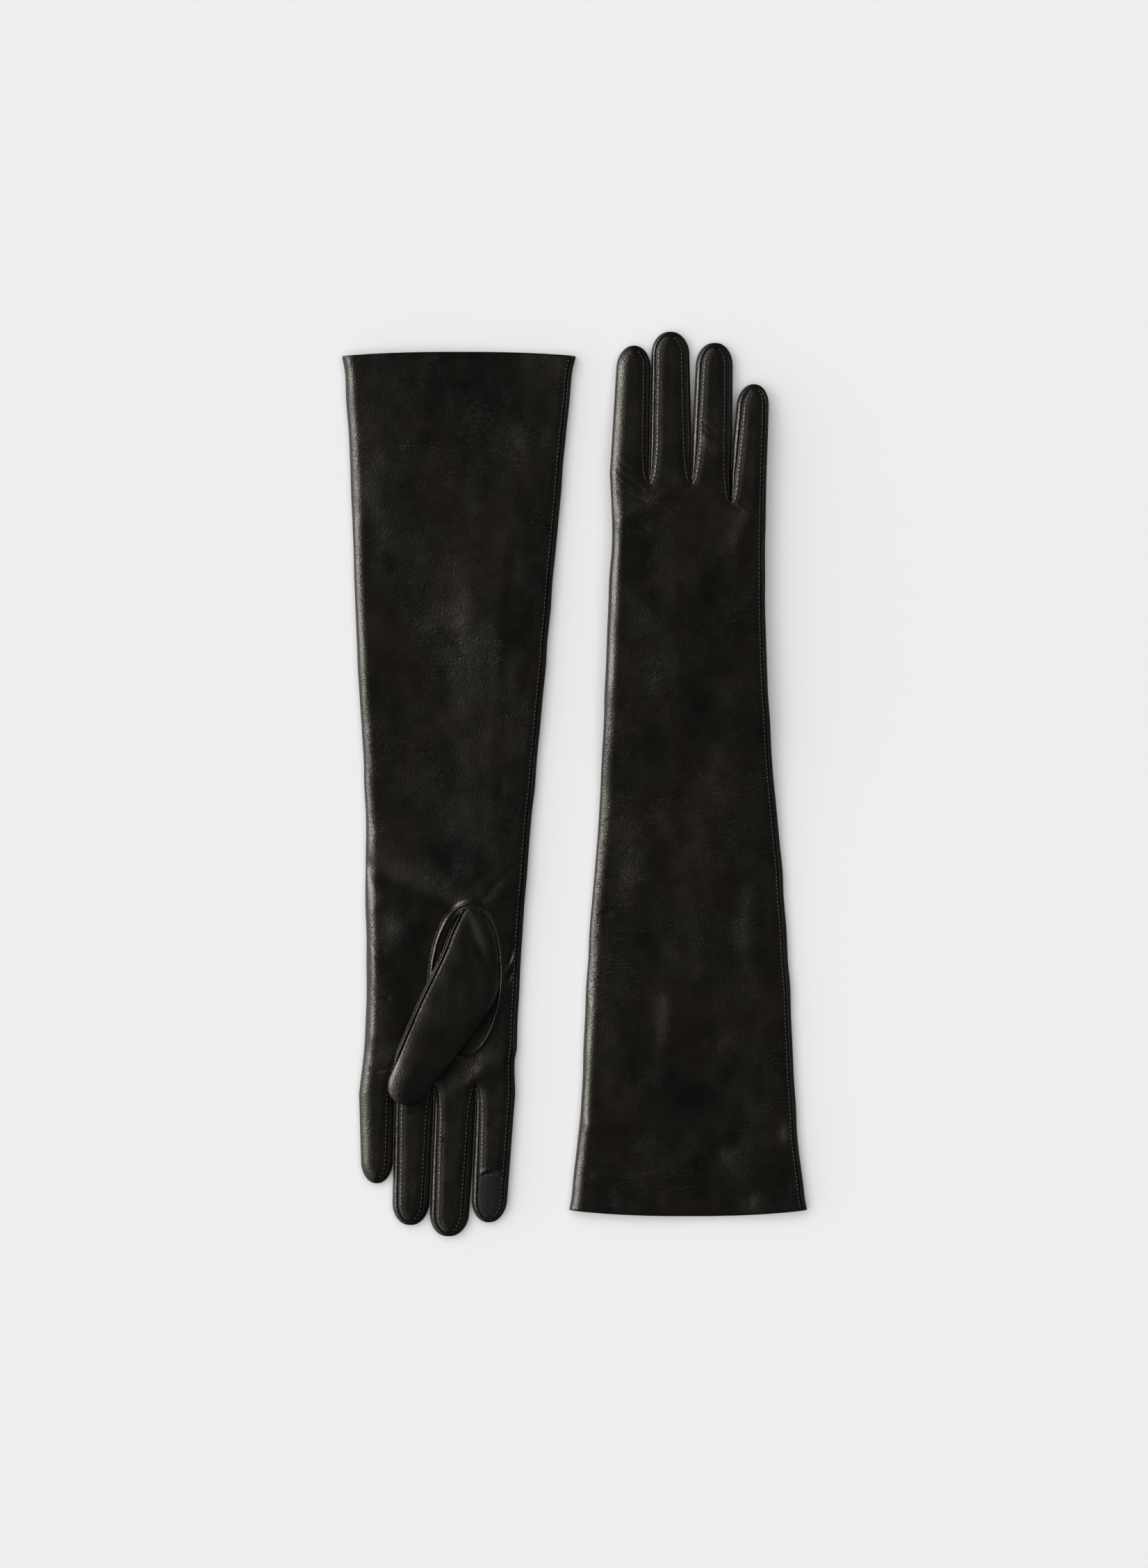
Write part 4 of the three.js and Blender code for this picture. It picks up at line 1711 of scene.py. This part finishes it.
# ------------------------------------------------------------------ the thumb


@dataclass
class Thumb:
    """The thumb on the palm: its oval hole with a rolled rim, the gusset, the skin and the long inseam.

    A row of the thumb runs from the inseam's edge to the outer edge. Its two ends follow two smooth lines,
    the second of which keeps to the hole's rim until the thumb leaves it, and the tip closes as an ellipse.

    Attributes:
        hand: The hand that it lies on.
        inseam_edge: The inseam's edge, as (share of the way to the tip, u, v).
        outer_edge: The other edge, in the same way.
        inseam_level: w of the inseam's edge, as (share, w).
        outer_level: w of the other edge.
        dome: How high the upper skin stands above its edges.
        floor: w of the underside.
        tip_length: Length of the rounded tip.
        rows: Rows along the thumb.
        tip_rows: Rows round the tip.
        across: Points in a row.
        swing: Two levels of v, from the hand to the thumb, handed to Lay.swinging.
        inseam_share: Where the inseam lies in a row.
        band: Half the width of the inseam's two rolls.
        rim_start: How far inside the hole's line the rim begins.
        rim_end: How far outside it the rim ends.
        gusset_margin: How far inside the hole's line the gusset ends.
    """

    hand: HandShell
    inseam_edge: tuple[tuple[float, float, float], ...] = (
        (0.0, -12.6, 319.0),
        (0.1, -9.6, 324.0),
        (0.22, -5.4, 333.0),
        (0.36, -0.3, 347.0),
        (0.5, 6.0, 361.0),
        (0.62, 12.0, 374.5),
        (0.75, 18.2, 390.5),
        (0.88, 23.2, 404.0),
        (1.0, 26.8, 414.0),
    )
    outer_edge: tuple[tuple[float, float, float], ...] = (
        (0.0, -13.6, 319.0),
        (0.1, -22.0, 322.6),
        (0.22, -28.4, 330.5),
        (0.36, -32.0, 344.0),
        (0.5, -33.0, 360.0),
        (0.62, -30.8, 373.0),
        (0.75, -21.5, 388.5),
        (0.88, -8.2, 407.6),
        (1.0, 4.6, 424.4),
    )
    inseam_level: tuple[Pair, ...] = (
        *((0, 8.3), (0.1, 8.9), (0.22, 10.3), (0.36, 11.9)),
        *((0.5, 13.0), (0.62, 13.3), (1, 13.3)),
    )
    outer_level: tuple[Pair, ...] = (
        *((0, 8.3), (0.36, 8.4), (0.5, 8.9)),
        *((0.62, 11.6), (0.72, 13.2), (1, 13.3)),
    )
    dome: tuple[Pair, ...] = (
        *((0, 0.3), (0.1, 1.3), (0.22, 2.4), (0.36, 3.2)),
        *((0.5, 3.7), (0.7, 4.0), (1, 4.0)),
    )
    floor: float = 9.4
    tip_length: float = 14.0
    rows: int = 110
    tip_rows: int = 24
    across: int = 49
    swing: Pair = (350.0, 398.0)
    inseam_share: float = 0.11
    band: float = 2.9
    rim_start: float = -1.7
    rim_end: float = 4.2
    gusset_margin: float = 1.2

    def __post_init__(self) -> None:
        """Keeps the lay at hand."""
        self.lay, self.section = self.hand.lay, self.hand.section

    def line(self, points: Sequence[tuple[float, float, float]], p: Array) -> tuple[Array, Array]:
        """u and v along an edge line at the shares p."""
        return (
            through([(x, u) for x, u, _ in points], p),
            through([(x, v) for x, _, v in points], p),
        )

    def surface(self, p: Array, turn: Array, t: Array, upper: bool) -> tuple[Array, Array, Array]:
        """The thumb's skin.

        Across a row the place goes as (1 - cos(pi t)) / 2 and the height as sin(pi t)^0.85 above the line
        between the two edges, a rounded section. Round the tip both shrink by powers of cos(turn).

        Args:
            p: Share of the way from the top of the hole to the tip's start.
            turn: How far the tip has turned, from 0 to pi / 2.
            t: Shares round the section, from 0 at the inseam's edge to 1.
            upper: True for the half away from the palm.

        Returns:
            u, v and w.
        """
        (iu, iv), (ou, ov) = self.line(self.inseam_edge, p), self.line(self.outer_edge, p)
        cu, cv, hu, hv = (iu + ou) / 2, (iv + ov) / 2, (ou - iu) / 2, (ov - iv) / 2
        shrink = np.cos(turn) ** 0.9
        length = np.hypot(hu, hv)
        ahead = self.tip_length * np.sin(turn)
        along_u, along_v = -hv / np.maximum(length, 1e-6), hu / np.maximum(length, 1e-6)
        facing = np.where(along_v < 0, -1, 1)
        cu, cv = cu + ahead * along_u * facing, cv + ahead * along_v * facing
        across = -np.cos(np.pi * t)
        u = cu + hu * shrink * across
        v = cv + hv * shrink * across
        share = (across + 1) / 2
        level = through(self.inseam_level, p) * (1 - share) + through(self.outer_level, p) * share
        arch = np.sin(np.pi * t) ** 0.85 * np.cos(turn) ** 0.55
        if upper:
            return u, v, level + through(self.dome, p) * arch + self.folds(p, share) * arch
        drop = np.maximum(level - self.floor, 0.4 * smoothstep(p, 0, 0.1))
        return u, v, level - drop * arch

    def folds(self, p: Array, share: Array) -> Array:
        """Folds of the upper skin.

        A valley runs from the top of the hole to where the thumb leaves the rim, with a bulge beside it.

        Args:
            p: Share of the way to the tip's start.
            share: Share of the way across.

        Returns:
            The height at each point.
        """
        valley = 0.34 + 0.56 * smoothstep(p, 0.1, 0.62)
        strength = smoothstep(p, 0.03, 0.32) * (1 - smoothstep(p, 0.56, 0.7))
        folded = 0.9 * bump(share, valley + 0.45, 0.3) - 1.25 * bump(share, valley, 0.17)
        return strength * folded + 0.15 * Undulation(5, 0.3, 0.16).at(share, p)

    def half(self, upper: bool) -> bpy.types.Object:
        """The upper or the lower half of the thumb's skin.

        Args:
            upper: True for the half away from the palm.

        Returns:
            The piece.
        """
        start = 0 if upper else 0.3
        p = np.append(np.linspace(start, 1, self.rows), np.ones(self.tip_rows))
        turn = np.append(np.zeros(self.rows), np.linspace(0, np.pi / 2, self.tip_rows + 1)[1:])
        t = np.linspace(0, 1, self.across)
        u, v, w = self.surface(p[:, None], turn[:, None], t[None, :], upper)
        inner = self.lay.place(u, v, w + (-3 if upper else 3))
        skin = Skin().add(self.lay.place(u, v, w), inner)
        name, node = ("thumb_skin_upper", "thumb_front") if upper else ("thumb_skin_lower", "thumb_back")
        return self.lay.swinging(skin.piece(self.lay.node(name), Finish.FINGER), self.swing, node)

    def inseam_path(self, count: int, end: float = 0.97) -> Array:
        """The line of the inseam on the thumb's skin, of shape (count, 3) in the glove's frame."""
        p = np.linspace(0.015, end, count)
        return np.stack(self.surface(p, 0 * p, 0 * p + self.inseam_share, True), -1)

    def inseam(self) -> bpy.types.Object:
        """Two narrow rolls of leather with a groove between them, along the inseam."""
        path = self.inseam_path(150)
        offset = np.linspace(-self.band, self.band, 41)
        rolls = 1.3 * (bump(offset, -1.35, 0.65) + bump(offset, 1.35, 0.65)) - 0.35
        rolls = rolls - 1.8 * smoothstep(np.abs(offset), 1.9, self.band)
        number = np.arange(len(path))
        ends = smoothstep(number, 0, 6) * (1 - smoothstep(number, 132, 149))
        tangent = np.gradient(path[:, :2], axis=0)
        tangent /= np.linalg.norm(tangent, axis=1)[:, None]
        sideways = np.stack([tangent[:, 1], -tangent[:, 0]], -1)
        scale = (0.35 + 0.65 * ends)[:, None]
        u = path[:, :1] + sideways[:, :1] * offset * scale
        v = path[:, 1:2] + sideways[:, 1:] * offset * scale
        w = path[:, 2:] + rolls[None, :] * scale - 0.3 * (1 - ends)[:, None]
        skin = Skin().add(self.lay.place(u, v, w), self.lay.place(u, v, w - 3))
        piece = skin.piece(self.lay.node("thumb_inseam_rolls"), Finish.SEAM)
        return self.lay.swinging(piece, self.swing, "thumb_inseam_band")

    @property
    def palm_level(self) -> float:
        """w of the palm's face near the hole, clear of the seams."""
        return self.hand.pattern.thickness + self.section.crown

    def rim(self) -> bpy.types.Object:
        """The palm leather's rolled edge round the hole, dropping into the seam's groove inside."""
        around = np.linspace(0, 2 * np.pi, 241)[:, None]
        offset = np.linspace(self.rim_start, self.rim_end, 30)[None, :]
        u, v = self.hand.hole.beside(around, offset)
        proud = 0.75 + 0.35 * np.cos(around - np.pi * 1.15)
        roll = proud * (0.9 * bump(offset, 0.7, 0.75) + 0.3 * bump(offset, 1.2, 1.5)) + 0.05
        roll = roll - 2.3 * (1 - smoothstep(offset, self.rim_start, 0.3))
        roll = roll - 0.4 * smoothstep(offset, 2.6, self.rim_end)
        w = self.palm_level + roll
        skin = Skin().add(self.lay.place(u, v, w), self.lay.place(u, v, w - 3))
        return self.lay.fixed(skin.piece(self.lay.node("thumb_hole_rim"), Finish.PANEL))

    def gusset(self) -> bpy.types.Object:
        """The gusset, a shallow oval dish that fills the hole."""
        around = np.linspace(0, 2 * np.pi, 121)[:, None]
        reach = np.linspace(0, 1, 22)[None, :]
        u, v = self.hand.hole.within(around, reach, self.gusset_margin)
        w = self.palm_level - 1.5 + 0.7 * np.sin(np.pi * reach) - 0.5 * (1 - reach)
        skin = Skin().add(self.lay.place(u, v, w), self.lay.place(u, v, w - 3))
        piece = skin.piece(self.lay.node("thumb_gusset_leather"), Finish.FINGER)
        return self.lay.fixed(piece, "thumb_gusset")

    def build(self) -> list[bpy.types.Object]:
        """All pieces of the thumb."""
        return [self.rim(), self.gusset(), self.half(True), self.half(False), self.inseam()]


# ------------------------------------------------------------------ stitches


@dataclass
class Stitching:
    """Rows of short stitches, each a thread lying on the leather with its two ends going down into it.

    Attributes:
        section: Cross-sections of the hand.
        pitch: Distance from stitch to stitch.
        length: Length of a stitch.
        thick: Its radius.
        sides: How many flat sides it has.
    """

    section: Section
    pitch: float = 2.4
    length: float = 1.55
    thick: float = 0.24
    sides: int = 6

    def row(self, skin: Skin, path: Array) -> None:
        """Adds stitches along a line.

        A stitch is a tube round a short arc: along it the height goes as 1 - s^2 and the radius shrinks to
        nothing at both ends.

        Args:
            skin: The skin that they are added to.
            path: Points of the line in the glove's frame, of shape (count, 3), lying on the leather.
        """
        world = self.section.lay.place(*path.T)
        steps = np.linalg.norm(np.diff(world, axis=0), axis=1)
        run = np.concatenate([[0], np.cumsum(steps)])
        count = int(run[-1] / (self.pitch * METRES))
        if count < 2:
            return
        at = (np.arange(count) + 0.5) * run[-1] / count
        ahead = at + self.length * METRES / 2
        middle = np.stack([np.interp(at, run, world[:, k]) for k in range(3)], -1)
        front = np.stack([np.interp(ahead, run, world[:, k]) for k in range(3)], -1)
        tangent = front - middle
        tangent /= np.linalg.norm(tangent, axis=1)[:, None] + 1e-12
        up = np.array([0, 0, 1.0])
        lateral = np.cross(tangent, up)
        lateral /= np.linalg.norm(lateral, axis=1)[:, None] + 1e-12
        s = np.linspace(-1, 1, 5)
        angle = np.linspace(0, 2 * np.pi, self.sides + 1)
        radius = self.thick * METRES * np.sqrt(np.clip(1.02 - s**2, 0.02, 1))
        height = self.thick * METRES * (0.9 - 1.3 * s**2)
        for k in range(count):
            spine = middle[k] + tangent[k] * (s * self.length * METRES / 2)[:, None] + up * height[:, None]
            ring = lateral[k] * np.cos(angle)[:, None] + up * np.sin(angle)[:, None]
            skin.add(spine[:, None] + radius[:, None, None] * ring, spine[:, None])

    def beside(
        self, i: int, side: int, v: Array, left: Array, right: Array, inset: float = 1.15
    ) -> Array:
        """A line on the upper face just inside a seam line.

        Args:
            i: Number of the finger's column.
            side: 0 for its index side, 1 for its little side.
            v: Levels.
            left: u of the column's left seam line.
            right: u of its right one.
            inset: Distance from the seam line.

        Returns:
            Points in the glove's frame.
        """
        inset = np.minimum(inset, (right - left) / 2)
        u = right - inset if side else left + inset
        height = self.section.face(i, u, v, (left, right))
        middle = self.section.pattern.edge
        w = middle + height if self.section.pose.palm_up else middle - height
        return np.stack([u, v, w], -1)


@dataclass
class Glove:
    """One whole glove: shell, fingers, thumb and stitches.

    Attributes:
        pattern: Its pattern.
        pose: How it lies.
    """

    pattern: Pattern
    pose: Pose

    def build(self) -> list[bpy.types.Object]:
        """Builds and dresses every piece of the glove."""
        lay = Lay(self.pattern, self.pose)
        section = Section(lay)
        shell = HandShell(section)
        made = shell.build()
        fingers = [Finger(shell, i) for i in range(len(self.pattern.fingers))]
        for finger in fingers:
            made += finger.build()
        made += Thumb(shell).build()
        made += self.stitches(shell, fingers)
        return made

    def stitches(self, shell: HandShell, fingers: list[Finger]) -> list[bpy.types.Object]:
        """The visible rows of stitches: beside the sewn side seam, the slots, the fingers and the touch tip.

        Args:
            shell: The hand's body.
            fingers: Its fingers.

        Returns:
            The pieces.
        """
        work = Stitching(shell.section)
        made = []
        hand = Skin()
        slots = range(len(self.pattern.crotches))
        side = int(self.pose.sewn[1] > 0)
        i = len(slots) * side
        v = np.linspace(2, self.pattern.split(i), 300)
        work.row(hand, work.beside(i, side, v, *shell.section.edges(i, v)))
        for slot in slots:
            for i, end in ((slot, 1), (slot + 1, 0)):
                v = np.linspace(self.pattern.bottom(slot) + 1, self.pattern.split(i), 40)
                work.row(hand, work.beside(i, end, v, *shell.section.edges(i, v)))
        made.append(shell.lay.fixed(hand.piece(shell.lay.node("hand_stitches"), Finish.THREAD)))
        for finger in fingers:
            skin = Skin()
            for end in (0, 1):
                slot = finger.i - 1 + end
                if slot in slots or self.pose.sewn[end] > 0:
                    lines = (line[:-4] for line in (finger.v, finger.left, finger.right))
                    work.row(skin, work.beside(finger.i, end, *lines))
            if finger.i == 0 and self.pose.palm_up:
                work.row(skin, self.touch_seam(finger))
            piece = skin.piece(shell.lay.node(f"{finger.cut.name}_stitches"), Finish.THREAD)
            made.append(shell.lay.bending(piece, finger.cut.name))
        return made

    def touch_seam(self, finger: Finger) -> Array:
        """The line of the stitches along the touch tip's arched seam.

        Args:
            finger: The index finger.

        Returns:
            Points in the glove's frame.
        """
        seam = self.pattern.touch_seam + 0.9
        left, right = np.interp(seam, finger.v, finger.left), np.interp(seam, finger.v, finger.right)
        share = np.linspace(0.06, 0.94, 30)
        u = left + (right - left) * share
        v = seam - self.pattern.touch_arch * (1 - (2 * share - 1) ** 2)
        height = finger.section.face(0, u, v, (left + 0 * u, right + 0 * u))
        return np.stack([u, v, self.pattern.edge + height - 0.1], -1)


# ------------------------------------------------------------------ studio


@dataclass(frozen=True)
class Sun:
    """A wide soft light.

    Attributes:
        name: Its name.
        strength: Its power.
        angle: How wide it looks from the gloves, in degrees.
        azimuth: Where it comes from, in degrees from +X towards +Y.
        elevation: How high it stands, in degrees.
        glossy: True for a light that only makes highlights, False for one that only lights.
    """

    name: str
    strength: float
    angle: float
    azimuth: float
    elevation: float
    glossy: bool

    def shine(self) -> None:
        """Adds the light to the scene."""
        light = bpy.data.lights.new(self.name, "SUN")
        light.energy, light.angle = self.strength, math.radians(self.angle)
        made = bpy.data.objects.new(self.name, light)
        a, e = math.radians(self.azimuth), math.radians(self.elevation)
        towards = Vector((math.cos(a) * math.cos(e), math.sin(a) * math.cos(e), math.sin(e)))
        made.rotation_mode = "QUATERNION"
        made.rotation_quaternion = towards.to_track_quat("Z", "Y")
        made.visible_glossy, made.visible_diffuse = self.glossy, not self.glossy
        bpy.context.scene.collection.objects.link(made)


@dataclass(frozen=True)
class Studio:
    """Pale floor, soft light mainly from the left, and a camera that looks straight down.

    Lengths are in metres, except for those of the camera itself.

    Attributes:
        view_height: Length of floor that the longer side of the view takes in.
        focus_height: Height over the floor at which it is that long.
        lens: The camera's lens, in millimetres.
        sensor: Its sensor, in millimetres.
        shift_x: How far the camera stands to the right of the pair's middle.
        clip: Nearest and farthest distance that the camera sees.
        suns: The lights.
        room: Grey of the room on the right, overhead and on the left.
        overhead: Where the overhead grey lies on the way from right to left.
        half_floor: Half the floor's side.
        wall_height: Height of the walls round it.
        drop: How far the floor lies under the gloves.
    """

    view_height: float = 0.9028
    focus_height: float = 0.008
    lens: float = 100.0
    sensor: float = 36.0
    shift_x: float = 0.0004
    clip: Pair = (0.1, 50)
    suns: tuple[Sun, ...] = (
        Sun("key_light", 3.6, 36, 166, 30, True),
        Sun("rim_light", 0.2, 30, 20, 30, True),
        Sun("top_light", 2.58, 80, 140, 80, False),
    )
    room: tuple[float, float, float] = (0.13, 0.012, 1.2)
    overhead: float = 0.55
    half_floor: float = 4.0
    wall_height: float = 6.0
    drop: float = 0.0002

    def world(self) -> None:
        """A studio room: a broad pale screen on the left, darkness overhead and on the right."""
        world = bpy.data.worlds.new("studio_room")
        world.use_nodes = True
        tree = world.node_tree
        tree.nodes.clear()
        output = tree.nodes.new("ShaderNodeOutputWorld")
        background = tree.nodes.new("ShaderNodeBackground")
        coords = tree.nodes.new("ShaderNodeTexCoord")
        split = tree.nodes.new("ShaderNodeSeparateXYZ")
        ramp = tree.nodes.new("ShaderNodeValToRGB")
        ranged = tree.nodes.new("ShaderNodeMapRange")
        ranged.inputs["From Min"].default_value = 1.0
        ranged.inputs["From Max"].default_value = -1.0
        ramp.color_ramp.elements.new(self.overhead)
        for element, grey in zip(ramp.color_ramp.elements, self.room):
            element.color = (grey, grey, grey, 1)
        tree.links.new(coords.outputs["Generated"], split.inputs["Vector"])
        tree.links.new(split.outputs["X"], ranged.inputs["Value"])
        tree.links.new(ranged.outputs["Result"], ramp.inputs["Fac"])
        tree.links.new(ramp.outputs["Color"], background.inputs["Color"])
        tree.links.new(background.outputs["Background"], output.inputs["Surface"])
        bpy.context.scene.world = world

    def floor(self) -> None:
        """A large pale floor under the gloves."""
        side = np.linspace(-self.half_floor, self.half_floor, 9)
        x, y = np.meshgrid(side, side)
        grid = np.stack([x, y, 0 * x - self.drop], -1)
        skin = Skin().add(grid, grid - np.array([0, 0, 1.0]))
        floor = skin.piece("studio_floor", Finish.FLOOR)
        floor.visible_glossy = False

    def backdrop(self) -> None:
        """Pale walls round the floor, which neither light the gloves nor reflect in them."""
        corners = np.array([(-1, -1), (1, -1), (1, 1), (-1, 1), (-1, -1)]) * self.half_floor
        heights = (-self.drop, self.wall_height)
        grid = np.stack([np.column_stack([corners, np.full(5, z)]) for z in heights])
        wall = Skin().add(grid, grid * 2).piece("studio_backdrop", Finish.BACKDROP)
        wall.visible_glossy = wall.visible_diffuse = wall.visible_shadow = wall.visible_transmission = False
        for polygon in wall.data.polygons:
            polygon.use_smooth = False

    def camera(self) -> None:
        """The camera, straight above the pair."""
        data = bpy.data.cameras.new("camera")
        data.lens, data.sensor_width, data.sensor_fit = self.lens, self.sensor, "AUTO"
        distance = self.view_height / self.sensor * self.lens
        data.clip_start, data.clip_end = self.clip
        made = bpy.data.objects.new("camera", data)
        made.location = (self.shift_x, 0, distance + self.focus_height)
        bpy.context.scene.collection.objects.link(made)
        bpy.context.scene.camera = made

    def build(self) -> None:
        """Builds the whole studio."""
        self.floor()
        self.backdrop()
        self.world()
        for sun in self.suns:
            sun.shine()
        self.camera()
        bpy.context.scene.view_settings.view_transform = "Standard"


# ------------------------------------------------------------------ all together


def main() -> None:
    """Builds the studio and the pair of gloves."""
    logging.basicConfig(level=logging.INFO, format="%(name)s: %(message)s")
    pattern = Pattern()
    for pose in (LEFT, RIGHT):
        made = Glove(pattern, pose).build()
        log.info("%s glove: %d pieces", pose.name, len(made))
    Studio().build()


if __name__ == "__main__":
    main()
